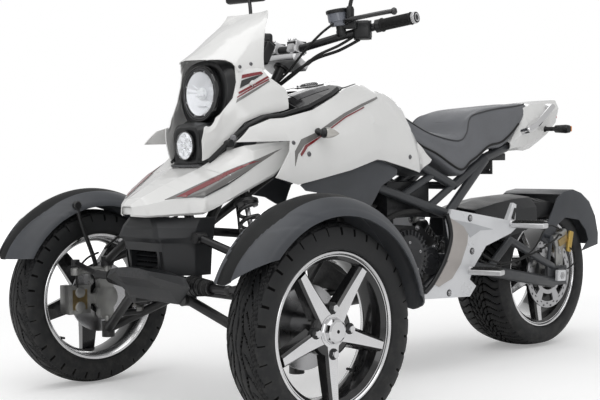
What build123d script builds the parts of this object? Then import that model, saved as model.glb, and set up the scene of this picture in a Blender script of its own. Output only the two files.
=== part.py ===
"""Motorized trike: two steered wheels on double wishbones in front, one driven wheel behind.

Millimetres. +Z is up, the nose points along -Y and the rider's left is +X. The floor is Z = 0
and the origin lies under the middle of the whole vehicle.
"""

from build123d import *
from math import cos, hypot, radians, sin
import os

os.makedirs("parts", exist_ok=True)

# Driving dimensions of the chassis
TRACK = 1020.0
WHEELBASE = 1460.0
FRONT_AXLE_Y = -729.2
STEERING_RAKE = 32.0
CLEARANCE = 0.3
RUNNING = 0.05

# Wheels and tyres
FRONT_TYRE_RADIUS = 262.0
FRONT_TYRE_WIDTH = 120.0
REAR_TYRE_RADIUS = 262.0
REAR_TYRE_WIDTH = 215.0
RIM_SEAT_RADIUS = 178.0
RIM_LIP_RADIUS = 190.0
RIM_WALL = 13.0
FRONT_RIM_WIDTH = 100.0
REAR_RIM_WIDTH = 192.0
LIP_THICKNESS = 5.0
SPOKES = 5
SPOKE_DEPTH = 30.0
SPOKE_WIDTH_HUB = 50.0
SPOKE_WIDTH_RIM = 30.0
HUB_RADIUS = 58.0
AXLE_RADIUS = 12.5
DISC_RADIUS = 105.0
REAR_DISC_RADIUS = 122.0
DISC_THICKNESS = 5.0
DISC_GAP = 5.5

# Front end
KINGPIN_X = 420.0
STEERING_ARM = 112.0
RACK_Z = 348.0
LOWER_BALL_Z = 168.0
UPPER_BALL_Z = 372.0
ARM_TUBE = 13.0
LOWER_HOUSING = 46.0
UPPER_HOUSING = 27.0
HOUSING_GAP = 3.0
FENDER_RADIUS = 330.0
FENDER_EDGE_RADIUS = 274.0
FENDER_HALF_WIDTH = 82.0
FENDER_WALL = 4.0
FENDER_REAR_ANGLE = 2.0
FENDER_FRONT_ANGLE = 164.0

# Frame tubes and body skins
FRAME_TUBE = 15.0
BRACE_TUBE = 12.0
SKIN = 4.0
BAR_RADIUS = 11.0
GRIP_RADIUS = 17.0
COLUMN_RADIUS = 14.0
CHAIN_X = -122.0
CHAIN_WIDTH = 12.0
CHAIN_HEIGHT = 8.0
PLATE_BOLT_SPACING = 40.0
PLATE_BOLT_RADIUS = 3.2
FRONT_SPROCKET_RADIUS = 30.0
REAR_SPROCKET_RADIUS = 85.0

REAR_AXLE = WHEELBASE
AXLE_Z = FRONT_TYRE_RADIUS
REAR_AXLE_Z = REAR_TYRE_RADIUS
WHEEL_X = TRACK / 2


def at(x, y, z):
    """A place x to the left, y behind the front axle and z above the floor."""
    return (x, FRONT_AXLE_Y + y, z)


def save(piece, node):
    """Label a finished piece and write its file."""
    piece.part.label = node
    export_step(piece.part, f"parts/{node}.step")


def save_pair(piece, node):
    """Write a left-hand piece and its mirror image as two nodes."""
    with BuildPart() as twin:
        mirror(piece.part, about=Plane.YZ)
    save(piece, node + "_left")
    save(twin, node + "_right")


def rod(start, end, radius, mode=Mode.ADD):
    """A round bar between two places, inside the current part."""
    run = Vector(*end) - Vector(*start)
    with Locations(Plane(origin=start, z_dir=run)):
        Cylinder(radius, run.length, align=(Align.CENTER, Align.CENTER, Align.MIN), mode=mode)


def ball(centre, radius):
    """A round joint or weld at a place."""
    with Locations(centre):
        Sphere(radius)


def tubes(routes, radius):
    """Round tubes through lists of places, with a ball at each corner."""
    for route in routes:
        for start, end in zip(route, route[1:]):
            rod(start, end, radius)
        for corner in route[1:-1]:
            ball(corner, radius)


def mirrored(route):
    """The same route on the other side of the vehicle."""
    return [(-x, y, z) for x, y, z in route]


def both(routes):
    """Routes with their mirror images."""
    return routes + [mirrored(route) for route in routes]


def inset(points, wall):
    """An open outline moved to its left-hand side by the wall."""
    moved = []
    for i, (x, z) in enumerate(points):
        before = points[max(i - 1, 0)]
        after = points[min(i + 1, len(points) - 1)]
        dx = after[0] - before[0]
        dz = after[1] - before[1]
        size = hypot(dx, dz)
        moved.append((x - wall * dz / size, z + wall * dx / size))
    return moved


def section(y, points):
    """A closed outline standing across the vehicle at y behind the front axle."""
    with BuildSketch(Plane(origin=at(0, y, 0), x_dir=(1, 0, 0), z_dir=(0, -1, 0))) as face:
        with BuildLine():
            Polyline(*points, close=True)
        make_face()
    return face.sketch


def level(z, points):
    """A closed outline lying flat at height z, its points x and y behind the front axle."""
    with BuildSketch(Plane(origin=at(0, 0, z), x_dir=(1, 0, 0), z_dir=(0, 0, 1))) as face:
        with BuildLine():
            Polyline(*points, close=True)
        make_face()
    return face.sketch


def skin(stations, wall=SKIN, ruled=True, lay=section):
    """A thin panel lofted through open outlines, its inner side on their left."""
    loft([lay(place, points + inset(points, wall)[::-1]) for place, points in stations], ruled=ruled)


def block(stations, ruled=True):
    """A solid lofted through closed outlines."""
    loft([section(y, points) for y, points in stations], ruled=ruled)


def side_view(outline, low_x, high_x, mode=Mode.ADD):
    """A solid seen as one outline from the side, its points y behind the front axle and z."""
    with BuildSketch(Plane.YZ.offset(low_x)) as face:
        with BuildLine():
            Polyline(*[(FRONT_AXLE_Y + y, z) for y, z in outline], close=True)
        make_face()
    extrude(face.sketch, amount=high_x - low_x, mode=mode)


def round_front(half):
    """A symmetric flat outline from its left half, which runs from the front to the rear."""
    return [(-x, y) for x, y in reversed(half) if x > 0] + half


def across(half):
    """A symmetric outline from its left half, which runs from the bottom to the top."""
    return half + [(-x, z) for x, z in reversed(half) if x > 0]


# Wheels
def tyre(wheel_x, wheel_y, radius, width, rim_width):
    """A tyre on its rim seats, filled down to the barrel."""
    half = width / 2
    bead = rim_width / 2 - LIP_THICKNESS
    rise = radius - RIM_SEAT_RADIUS
    bulge = RIM_SEAT_RADIUS + 0.45 * rise
    with BuildPart() as piece:
        with BuildSketch(Plane.XY.offset(radius)):
            with BuildLine():
                Polyline(
                    (bead, RIM_SEAT_RADIUS),
                    (bead, RIM_LIP_RADIUS + 1),
                    (half - 3, bulge - 0.22 * rise),
                    (half, bulge),
                    (half * 0.97, bulge + 0.2 * rise),
                    (half * 0.88, radius - 0.18 * rise),
                    (half * 0.6, radius - 0.06 * rise),
                    (half * 0.3, radius - 0.01 * rise),
                    (0, radius),
                    (-half * 0.3, radius - 0.01 * rise),
                    (-half * 0.6, radius - 0.06 * rise),
                    (-half * 0.88, radius - 0.18 * rise),
                    (-half * 0.97, bulge + 0.2 * rise),
                    (-half, bulge),
                    (3 - half, bulge - 0.22 * rise),
                    (-bead, RIM_LIP_RADIUS + 1),
                    (-bead, RIM_SEAT_RADIUS),
                    close=True,
                )
            make_face()
        revolve(axis=Axis((0, 0, radius), (1, 0, 0)))
    return Pos(wheel_x, FRONT_AXLE_Y + wheel_y, 0) * piece.part


def rim(rim_width, spoke_out, hub_in, disc_t, disc_radius, bore):
    """A cast five-spoke rim with its brake disc, axis along X, outer face at +X."""
    half = rim_width / 2
    inner = RIM_SEAT_RADIUS - RIM_WALL
    with BuildPart() as piece:
        with BuildSketch(Plane.XY):
            with BuildLine():
                Polyline(
                    (-half, inner + 4),
                    (-half, RIM_LIP_RADIUS),
                    (-half + LIP_THICKNESS, RIM_LIP_RADIUS),
                    (-half + LIP_THICKNESS, RIM_SEAT_RADIUS),
                    (half - LIP_THICKNESS, RIM_SEAT_RADIUS),
                    (half - LIP_THICKNESS, RIM_LIP_RADIUS),
                    (half, RIM_LIP_RADIUS),
                    (half, inner + 4),
                    (half - 12, inner),
                    (-half + 12, inner),
                    close=True,
                )
            make_face()
        revolve(axis=Axis.X)
        with BuildSketch(Plane.YZ.offset(spoke_out - SPOKE_DEPTH)):
            for k in range(SPOKES):
                with BuildLine(Plane.XY.rotated((0, 0, -90 + 360 / SPOKES * k))):
                    Polyline(
                        (HUB_RADIUS - 12, -SPOKE_WIDTH_HUB / 2),
                        (inner + 3, -SPOKE_WIDTH_RIM / 2),
                        (inner + 3, SPOKE_WIDTH_RIM / 2),
                        (HUB_RADIUS - 12, SPOKE_WIDTH_HUB / 2),
                        close=True,
                    )
                make_face()
        extrude(amount=SPOKE_DEPTH)
        with BuildSketch(Plane.YZ.offset(hub_in)):
            Circle(HUB_RADIUS)
        extrude(amount=spoke_out - hub_in)
        with BuildSketch(Plane.YZ.offset(disc_t - DISC_THICKNESS / 2)):
            Circle(disc_radius)
            with PolarLocations(disc_radius - 16, 10):
                Circle(4, mode=Mode.SUBTRACT)
        extrude(amount=DISC_THICKNESS)
        with BuildSketch(Plane.YZ.offset(hub_in - 30)):
            Circle(bore)
        extrude(amount=spoke_out - hub_in + 22, mode=Mode.SUBTRACT)
        fillet(piece.edges().filter_by(GeomType.CIRCLE).sort_by(Axis.X)[-1], 3)
    return piece.part


FRONT_DISC_T = -FRONT_RIM_WIDTH / 2 - 2
FRONT_HUB_IN = FRONT_DISC_T
FRONT_SPOKE_OUT = 42.0
front_rim_part = rim(
    FRONT_RIM_WIDTH, FRONT_SPOKE_OUT, FRONT_HUB_IN, FRONT_DISC_T, DISC_RADIUS, AXLE_RADIUS + RUNNING
)
front_tyre_part = tyre(WHEEL_X, 0, FRONT_TYRE_RADIUS, FRONT_TYRE_WIDTH, FRONT_RIM_WIDTH)

with BuildPart() as front_rim:
    add(Pos(*at(WHEEL_X, 0, AXLE_Z)) * front_rim_part)
save_pair(front_rim, "front_rim")

with BuildPart() as front_tyre:
    add(front_tyre_part)
save_pair(front_tyre, "front_tyre")

REAR_DISC_T = REAR_RIM_WIDTH / 2 + 22
REAR_SPROCKET_T = CHAIN_X
REAR_SPOKE_OUT = 80.0

# Rear wheel
with BuildPart() as rear_rim:
    add(
        Pos(*at(0, REAR_AXLE, REAR_AXLE_Z))
        * rim(REAR_RIM_WIDTH, REAR_SPOKE_OUT, -70.0, 66.0, HUB_RADIUS + 6, AXLE_RADIUS + RUNNING)
    )
    with BuildSketch(Plane.YZ.offset(-100)):
        with Locations((FRONT_AXLE_Y + REAR_AXLE, REAR_AXLE_Z)):
            Circle(40)
    extrude(amount=200)
    with BuildSketch(Plane.YZ.offset(REAR_DISC_T - DISC_THICKNESS / 2)):
        with Locations((FRONT_AXLE_Y + REAR_AXLE, REAR_AXLE_Z)):
            Circle(REAR_DISC_RADIUS)
            with PolarLocations(REAR_DISC_RADIUS - 20, 12):
                Circle(5, mode=Mode.SUBTRACT)
    extrude(amount=DISC_THICKNESS)
    with BuildSketch(Plane.YZ.offset(95)):
        with Locations((FRONT_AXLE_Y + REAR_AXLE, REAR_AXLE_Z)):
            Circle(52)
    extrude(amount=REAR_DISC_T - 95)
    with BuildSketch(Plane.YZ.offset(REAR_SPROCKET_T - 3)):
        with Locations((FRONT_AXLE_Y + REAR_AXLE, REAR_AXLE_Z)):
            Circle(REAR_SPROCKET_RADIUS)
    extrude(amount=6)
    with BuildSketch(Plane.YZ.offset(REAR_SPROCKET_T)):
        with Locations((FRONT_AXLE_Y + REAR_AXLE, REAR_AXLE_Z)):
            Circle(52)
    extrude(amount=40)
    rod(
        at(-200, REAR_AXLE, REAR_AXLE_Z),
        at(200, REAR_AXLE, REAR_AXLE_Z),
        AXLE_RADIUS + RUNNING,
        mode=Mode.SUBTRACT,
    )
save(rear_rim, "rear_rim")

with BuildPart() as rear_tyre:
    add(tyre(0, REAR_AXLE, REAR_TYRE_RADIUS, REAR_TYRE_WIDTH, REAR_RIM_WIDTH))
save(rear_tyre, "rear_tyre")

# Steering knuckles with their stub axles, steering arms and calipers
KNUCKLE_FACE = WHEEL_X + FRONT_HUB_IN - 7
KNUCKLE_X = KINGPIN_X + 4
UPRIGHT_LOW = LOWER_BALL_Z + LOWER_HOUSING / 2 + HOUSING_GAP
UPRIGHT_HIGH = UPPER_BALL_Z - UPPER_HOUSING / 2 - HOUSING_GAP
CALIPER_Y = -88.0
DISC_X = WHEEL_X + FRONT_DISC_T
with BuildPart() as knuckle:
    with BuildSketch(Plane.YZ.offset(KNUCKLE_X)):
        with Locations((FRONT_AXLE_Y, (UPRIGHT_LOW + UPRIGHT_HIGH) / 2)):
            SlotOverall(UPRIGHT_HIGH - UPRIGHT_LOW, 46, rotation=90)
        with Locations((FRONT_AXLE_Y, AXLE_Z)):
            Circle(38)
    extrude(amount=KNUCKLE_FACE - KNUCKLE_X)
    rod(at(KNUCKLE_X, 0, AXLE_Z), at(WHEEL_X + FRONT_SPOKE_OUT - 14, 0, AXLE_Z), AXLE_RADIUS)
    rod(at(KNUCKLE_X + 8, 0, RACK_Z), at(KINGPIN_X - 6, -STEERING_ARM, RACK_Z), 10)
    with Locations(at(KINGPIN_X - 6, -STEERING_ARM, RACK_Z)):
        Cylinder(14, 20)
    with BuildSketch(Plane.XZ.offset(-(FRONT_AXLE_Y + CALIPER_Y + 36))):
        with Locations((DISC_X, AXLE_Z)):
            Rectangle(52, 84)
    extrude(amount=72)
    with Locations(at(DISC_X, -30, AXLE_Z)):
        Box(52, 50, 30)
    with BuildSketch(Plane.YZ.offset(DISC_X - DISC_THICKNESS / 2 - DISC_GAP)):
        with Locations((FRONT_AXLE_Y, AXLE_Z)):
            Circle(DISC_RADIUS + 6)
    extrude(amount=DISC_THICKNESS + 2 * DISC_GAP + 60, mode=Mode.SUBTRACT)
    rod(at(KNUCKLE_X, 0, AXLE_Z), at(WHEEL_X + FRONT_SPOKE_OUT - 14, 0, AXLE_Z), AXLE_RADIUS)
    rod(at(KINGPIN_X, 0, UPRIGHT_LOW - HOUSING_GAP + CLEARANCE), at(KINGPIN_X, 0, UPRIGHT_LOW + 14), 9)
    rod(at(KINGPIN_X, 0, UPRIGHT_HIGH + HOUSING_GAP - CLEARANCE), at(KINGPIN_X, 0, UPRIGHT_HIGH - 14), 9)
save_pair(knuckle, "knuckle")

# Front fenders, carried by stays on the knuckles
with BuildPart() as front_fender:
    with BuildSketch(Plane.XZ):
        with BuildLine():
            outer = ThreePointArc(
                (-FENDER_HALF_WIDTH, FENDER_EDGE_RADIUS),
                (0, FENDER_RADIUS),
                (FENDER_HALF_WIDTH, FENDER_EDGE_RADIUS),
            )
            Line(outer @ 1, (FENDER_HALF_WIDTH - FENDER_WALL, FENDER_EDGE_RADIUS))
            inner = ThreePointArc(
                (FENDER_HALF_WIDTH - FENDER_WALL, FENDER_EDGE_RADIUS),
                (0, FENDER_RADIUS - FENDER_WALL),
                (-FENDER_HALF_WIDTH + FENDER_WALL, FENDER_EDGE_RADIUS),
            )
            Line(inner @ 1, outer @ 0)
        make_face()
    revolve(axis=Axis.X, revolution_arc=FENDER_FRONT_ANGLE - FENDER_REAR_ANGLE)
front_fender_shell = (
    Pos(*at(WHEEL_X, 0, AXLE_Z)) * Rot(FENDER_REAR_ANGLE - 90, 0, 0) * front_fender.part
)


def on_fender(angle, radius, x):
    """A place on the fender by its angle from straight back."""
    return at(x, radius * cos(radians(angle)), AXLE_Z + radius * sin(radians(angle)))


STAY_X = WHEEL_X - FENDER_HALF_WIDTH + 3
with BuildPart() as front_fender:
    add(front_fender_shell)
    side_view([(-400, 364), (-334, 389), (-212, 435), (-100, 300), (-400, 100)], 400, 600,
              mode=Mode.SUBTRACT)
    side_view([(380, 284), (329, 297), (240, 320), (100, 250), (380, 100)], 400, 600,
              mode=Mode.SUBTRACT)
    for angle, y in ((62, 22), (108, -22)):
        foot = at(KNUCKLE_FACE - 6, y, UPRIGHT_HIGH - 34)
        rod(foot, on_fender(angle, FENDER_EDGE_RADIUS + 16, STAY_X), 7)
        pad = on_fender(angle, FENDER_EDGE_RADIUS + 16, STAY_X - 6)
        rod(pad, on_fender(angle, FENDER_EDGE_RADIUS + 16, STAY_X + 7), 13)
    add(knuckle.part, mode=Mode.SUBTRACT)
save_pair(front_fender, "front_fender")

# Wishbones: lower arms carry the coil-overs
ARM_IN_X = 122.0
LOWER_IN_Z = 312.0
UPPER_IN_X = 148.0
UPPER_IN_Z = 470.0
ARM_FRONT_Y = -108.0
ARM_REAR_Y = 110.0
RAIL_Z = 298.0
SHOCK_FOOT = at(300, 26, 240)
SHOCK_HEAD = at(150, 60, 590)
with BuildPart() as suspension_arms:
    for side in (1, -1):
        low = at(side * KINGPIN_X, 0, LOWER_BALL_Z)
        high = at(side * KINGPIN_X, 0, UPPER_BALL_Z)
        for y in (ARM_FRONT_Y, ARM_REAR_Y):
            rod(at(side * ARM_IN_X, y, LOWER_IN_Z), low, ARM_TUBE)
            rod(at(side * UPPER_IN_X, y * 0.8, UPPER_IN_Z), high, ARM_TUBE - 2)
            with Locations(Location(at(side * ARM_IN_X, y, LOWER_IN_Z), (90, 0, 0))):
                Cylinder(17, 36)
            with Locations(Location(at(side * UPPER_IN_X, y * 0.8, UPPER_IN_Z), (90, 0, 0))):
                Cylinder(15, 32)
        for centre, height in ((low, LOWER_HOUSING), (high, UPPER_HOUSING)):
            with Locations(centre):
                Cylinder(19, height)
        rod(at(side * 300, -46, 229), at(side * 300, 46, 229), 10)
save(suspension_arms, "suspension_arms")

# Main frame
rake = radians(STEERING_RAKE)
CLAMP = at(0, 345, 955)
AXIS_UP = (0, sin(rake), cos(rake))


def on_column(z):
    """The place on the steering axis at height z."""
    return (0, CLAMP[1] - (CLAMP[2] - z) * sin(rake) / cos(rake), z)


PIVOT_Y = 905.0
PIVOT_Z = 345.0
with BuildPart() as main_frame:
    rod(on_column(640), on_column(860), 27)
    tubes(
        both(
            [
                [at(14, 270, 800), at(95, 420, 760), at(128, 793, 640), at(128, 938, 580)],
                [at(128, 938, 578), at(116, 1109, 664), at(84, 1330, 720), at(70, 1440, 750)],
                [at(14, 200, 690), at(110, 400, 640), at(128, 591, 583), at(140, 895, 490)],
                [at(140, 895, 490), at(120, 1109, 660)],
                [at(140, 895, 490), at(146, PIVOT_Y, PIVOT_Z), at(146, 780, 262)],
            ]
        ),
        FRAME_TUBE,
    )
    tubes(
        both(
            [
                [at(128, 695, 552), at(126, 850, 619)],
                [at(134, 813, 515), at(128, 938, 580)],
                [at(95, 420, 760), at(112, 420, 635)],
            ]
        ),
        BRACE_TUBE,
    )
    rod(at(-128, 938, 579), at(128, 938, 579), BRACE_TUBE)
    rod(at(-84, 1330, 720), at(84, 1330, 720), BRACE_TUBE)
    rod(at(-140, 895, 490), at(140, 895, 490), BRACE_TUBE)
    rod(at(-146, 780, 262), at(146, 780, 262), BRACE_TUBE)
    rod(at(-146, PIVOT_Y, PIVOT_Z), at(146, PIVOT_Y, PIVOT_Z), 14)
    rod(on_column(600), on_column(900), COLUMN_RADIUS + CLEARANCE, mode=Mode.SUBTRACT)
save(main_frame, "main_frame")

# Front sub-frame with the wishbone pivots
with BuildPart() as front_frame:
    tubes(
        both(
            [
                [at(95, -128, RAIL_Z), at(95, 135, RAIL_Z), at(142, 640, 240), at(142, 764, 262)],
                [at(105, -95, UPPER_IN_Z), at(105, 110, UPPER_IN_Z), at(110, 380, 620)],
                [at(95, -68, RAIL_Z), at(105, -68, UPPER_IN_Z), at(112, 30, 600)],
                [at(95, 92, RAIL_Z), at(105, 92, UPPER_IN_Z), at(112, 30, 600)],
                [at(112, 30, 600), at(30, 170, 672)],
            ]
        ),
        FRAME_TUBE - 2,
    )
    for y in (-68, 92):
        rod(at(-95, y, RAIL_Z), at(95, y, RAIL_Z), BRACE_TUBE)
        rod(at(-105, y, UPPER_IN_Z), at(105, y, UPPER_IN_Z), BRACE_TUBE)
    rod(at(-112, 30, 600), at(112, 30, 600), BRACE_TUBE)
    for side in (1, -1):
        with Locations(at(side * 138, 50, 604)):
            Box(44, 30, 12)
    add(main_frame.part, mode=Mode.SUBTRACT)
    add(suspension_arms.part, mode=Mode.SUBTRACT)
save(front_frame, "front_frame")

# Coil-over shocks, two in front and one behind
REAR_SHOCK_FOOT = at(0, 1030, 330)
REAR_SHOCK_HEAD = at(0, 895, 470)
SPRING_RADIUS = 27.0
SPRING_SEAT = 33.0


def coil_over(foot, head, turns):
    """A damper inside a coil spring between two places, the spring as rounded turns."""
    run = Vector(*head) - Vector(*foot)
    low = 46
    high = run.length - 42
    pitch = (high - low) / turns
    outline = [(0, 6), (9, 6), (9, 20), (SPRING_SEAT, 30), (SPRING_SEAT, low)]
    for k in range(turns):
        outline += [
            (SPRING_RADIUS - 7, low + pitch * (k + 0.1)),
            (SPRING_RADIUS + 3, low + pitch * (k + 0.35)),
            (SPRING_RADIUS + 3, low + pitch * (k + 0.65)),
            (SPRING_RADIUS - 7, low + pitch * (k + 0.9)),
        ]
    outline += [(SPRING_SEAT, high), (SPRING_SEAT, high + 10), (14, high + 16), (12, run.length - 6)]
    outline += [(0, run.length - 6)]
    across_run = Vector(0, 1, 0).cross(run).normalized()
    with BuildSketch(Plane(origin=foot, x_dir=across_run, z_dir=across_run.cross(run))) as turned:
        with BuildLine():
            Polyline(*outline, close=True)
        make_face()
    revolve(turned.sketch, axis=Axis(foot, run))
    for place in (foot, head):
        with Locations(Location(place, (90, 0, 0))):
            Cylinder(14, 24)


with BuildPart() as shocks:
    for side in (1, -1):
        foot = (side * SHOCK_FOOT[0], SHOCK_FOOT[1], SHOCK_FOOT[2])
        head = (side * SHOCK_HEAD[0], SHOCK_HEAD[1], SHOCK_HEAD[2])
        coil_over(foot, head, 10)
    coil_over(REAR_SHOCK_FOOT, REAR_SHOCK_HEAD, 4)
    add(suspension_arms.part, mode=Mode.SUBTRACT)
    add(front_frame.part, mode=Mode.SUBTRACT)
    add(main_frame.part, mode=Mode.SUBTRACT)
save(shocks, "shocks")

# Steering rack housing, tie rods and column
RACK_BORE = 11.0
RACK_END = 296.0
with BuildPart() as steering_rack:
    rod(at(-150, -STEERING_ARM, RACK_Z), at(150, -STEERING_ARM, RACK_Z), 22)
    for side in (1, -1):
        for k in range(5):
            near = 150 + 16 * k
            rod(
                at(side * near, -STEERING_ARM, RACK_Z),
                at(side * (near + 16), -STEERING_ARM, RACK_Z),
                26 - 2.2 * k,
            )
    rod(at(0, -STEERING_ARM, RACK_Z), (0, on_column(RACK_Z + 45)[1], RACK_Z + 45), 20)
    rod(
        at(-300, -STEERING_ARM, RACK_Z),
        at(300, -STEERING_ARM, RACK_Z),
        RACK_BORE + 1,
        mode=Mode.SUBTRACT,
    )
    add(front_frame.part, mode=Mode.SUBTRACT)
    add(suspension_arms.part, mode=Mode.SUBTRACT)
save(steering_rack, "steering_rack")

with BuildPart() as tie_rods:
    rod(at(-RACK_END, -STEERING_ARM, RACK_Z), at(RACK_END, -STEERING_ARM, RACK_Z), RACK_BORE)
    for side in (1, -1):
        eye = at(side * (KINGPIN_X - 6), -STEERING_ARM, RACK_Z + 26)
        ball(at(side * RACK_END, -STEERING_ARM, RACK_Z), RACK_BORE + 2)
        rod(at(side * RACK_END, -STEERING_ARM, RACK_Z), eye, 8)
        with Locations(eye):
            Cylinder(12, 18)
save(tie_rods, "tie_rods")

# Handlebar on its column
GRIP_IN = at(240, 486, 1042)
GRIP_OUT = at(352, 509, 1055)
BEND = at(165, 398, 1010)
with BuildPart() as handlebar:
    rod(on_column(430), on_column(955), COLUMN_RADIUS)
    tubes([[mirrored([GRIP_OUT])[0], mirrored([GRIP_IN])[0], mirrored([BEND])[0], at(-70, 352, 985),
            at(70, 352, 985), BEND, GRIP_IN, GRIP_OUT]], BAR_RADIUS)
    with Locations(Plane(origin=on_column(945), x_dir=(1, 0, 0), z_dir=AXIS_UP)):
        Box(150, 60, 22)
        Cylinder(22, 40)
    for side in (1, -1):
        rod(at(side * 45, 340, 955), at(side * 45, 352, 985), 15)
        with Locations(at(side * 45, 352, 988)):
            Box(34, 44, 34)
        rod(at(side * 352, 509, 1055), at(side * 364, 511.5, 1056.4), 15)
save(handlebar, "handlebar")

with BuildPart() as grips:
    for side in (1, -1):
        start = at(side * 253, 488.7, 1043.5)
        end = at(side * 351, 508.8, 1054.9)
        rod(start, end, GRIP_RADIUS)
        rod(start, end, BAR_RADIUS + CLEARANCE, mode=Mode.SUBTRACT)
save(grips, "grips")

with BuildPart() as hand_controls:
    for side in (1, -1):
        with Locations(Location(at(side * 212, 452, 1030), (0, 0, side * 38))):
            Box(46, 44, 50)
        tubes(
            [[at(side * 190, 425, 1040), at(side * 205, 385, 1052), at(side * 330, 420, 1066),
              at(side * 352, 432, 1068)]],
            7,
        )
        ball(at(side * 352, 432, 1068), 9)
        with Locations(at(side * 180, 385, 1068)):
            Box(52, 50, 34)
        rod(at(side * 180, 400, 1020), at(side * 180, 390, 1060), 12)
    add(handlebar.part, mode=Mode.SUBTRACT)
    add(grips.part, mode=Mode.SUBTRACT)
save(hand_controls, "hand_controls")

with BuildPart() as mirrors:
    for side in (1, -1):
        tubes([[at(side * 215, 400, 1090), at(side * 225, 405, 1130), at(side * 275, 440, 1190)]], 6)
        rod(at(side * 214, 399, 1064), at(side * 215, 400, 1090), 11)
        with Locations(Location(at(side * 290, 446, 1205), (-8, 0, side * -14))):
            Box(150, 26, 92)
    add(hand_controls.part, mode=Mode.SUBTRACT)
    add(handlebar.part, mode=Mode.SUBTRACT)
save(mirrors, "mirrors")

# Engine and what hangs on it
with BuildPart() as engine:
    with BuildSketch(Plane.YZ.offset(-118)):
        with BuildLine():
            Polyline(
                at(0, 540, 270)[1:],
                at(0, 830, 258)[1:],
                at(0, 868, 300)[1:],
                at(0, 868, 400)[1:],
                at(0, 800, 455)[1:],
                at(0, 640, 470)[1:],
                at(0, 520, 400)[1:],
                close=True,
            )
        make_face()
    extrude(amount=236)
    with Locations(Location(at(0, 560, 490), (32, 0, 0))):
        Box(150, 130, 150)
    for k in range(6):
        with Locations(Location(at(0, 560 - 11 * k + 22, 490 + 17 * k - 40), (32, 0, 0))):
            Box(186, 160, 5)
    rod(at(110, 660, 371), at(186, 660, 371), 76)
    rod(at(186, 660, 371), at(196, 660, 371), 58)
    rod(at(-110, 700, 361), at(-170, 700, 361), 96)
    rod(at(110, 800, 350), at(150, 800, 350), 42)
    add(front_frame.part, mode=Mode.SUBTRACT)
    add(main_frame.part, mode=Mode.SUBTRACT)
save(engine, "engine")

with BuildPart() as airbox:
    with Locations(at(0, 760, 540)):
        Box(200, 190, 110)
    rod(at(0, 740, 440), at(0, 740, 500), 40)
    add(main_frame.part, mode=Mode.SUBTRACT)
    add(engine.part, mode=Mode.SUBTRACT)
save(airbox, "airbox")

with BuildPart() as exhaust:
    tubes(
        [[at(-30, 470, 480), at(-40, 430, 420), at(-60, 450, 250), at(-85, 560, 215),
          at(-190, 900, 205), at(-232, 980, 270)]],
        18,
    )
    rod(at(-232, 970, 262), at(-236, 1330, 372), 50)
    add(front_frame.part, mode=Mode.SUBTRACT)
    add(engine.part, mode=Mode.SUBTRACT)
    add(main_frame.part, mode=Mode.SUBTRACT)
save(exhaust, "exhaust")

# Rear end: swingarm, chain, caliper, fender and inner fender
with BuildPart() as swingarm:
    tubes(both([[at(108, PIVOT_Y, PIVOT_Z), at(150, 1120, 292), at(150, 1440, 232)]]), 19)
    rod(at(-128, PIVOT_Y, PIVOT_Z), at(128, PIVOT_Y, PIVOT_Z), 20)
    tubes(both([[at(148, 1085, 300), at(151, 1200, 392), at(151, 1437, 287)]]), 13)
    rod(at(-130, 1050, 310), at(130, 1050, 310), 18)
    for side in (1, -1):
        with Locations(at(side * 150, REAR_AXLE, REAR_AXLE_Z - 8)):
            Box(12, 110, 66)
        with Locations(at(side * 160, REAR_AXLE + 14, REAR_AXLE_Z)):
            Box(14, 44, 38)
    rod(at(-172, REAR_AXLE, REAR_AXLE_Z), at(172, REAR_AXLE, REAR_AXLE_Z), AXLE_RADIUS)
    rod(at(-146, PIVOT_Y, PIVOT_Z), at(146, PIVOT_Y, PIVOT_Z), 14 + CLEARANCE, mode=Mode.SUBTRACT)
    add(main_frame.part, mode=Mode.SUBTRACT)
    add(shocks.part, mode=Mode.SUBTRACT)
save(swingarm, "swingarm")

CHAIN_FRONT = (805.0, 342.0)
with BuildPart() as chain:
    with BuildSketch(Plane.YZ.offset(CHAIN_X - CHAIN_WIDTH / 2)):
        with Locations((FRONT_AXLE_Y + REAR_AXLE, REAR_AXLE_Z)):
            Circle(REAR_SPROCKET_RADIUS + CHAIN_HEIGHT + CLEARANCE)
        with Locations((FRONT_AXLE_Y + CHAIN_FRONT[0], CHAIN_FRONT[1])):
            Circle(FRONT_SPROCKET_RADIUS + CHAIN_HEIGHT)
        make_hull()
        offset(amount=-CHAIN_HEIGHT, mode=Mode.SUBTRACT)
    extrude(amount=CHAIN_WIDTH)
    add(engine.part, mode=Mode.SUBTRACT)
    add(swingarm.part, mode=Mode.SUBTRACT)
save(chain, "chain")

with BuildPart() as rear_caliper:
    with Locations(Location(at(REAR_DISC_T + 5, 1508, 372), (20, 0, 0))):
        Box(44, 76, 62)
    with Locations(at(REAR_DISC_T + 22, 1490, 310)):
        Box(8, 40, 80)
    with BuildSketch(Plane.YZ.offset(REAR_DISC_T - DISC_THICKNESS / 2 - DISC_GAP)):
        with Locations((FRONT_AXLE_Y + REAR_AXLE, REAR_AXLE_Z)):
            Circle(REAR_DISC_RADIUS + 6)
    extrude(amount=DISC_THICKNESS + 2 * DISC_GAP, mode=Mode.SUBTRACT)
    add(swingarm.part, mode=Mode.SUBTRACT)
save(rear_caliper, "rear_caliper")

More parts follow.
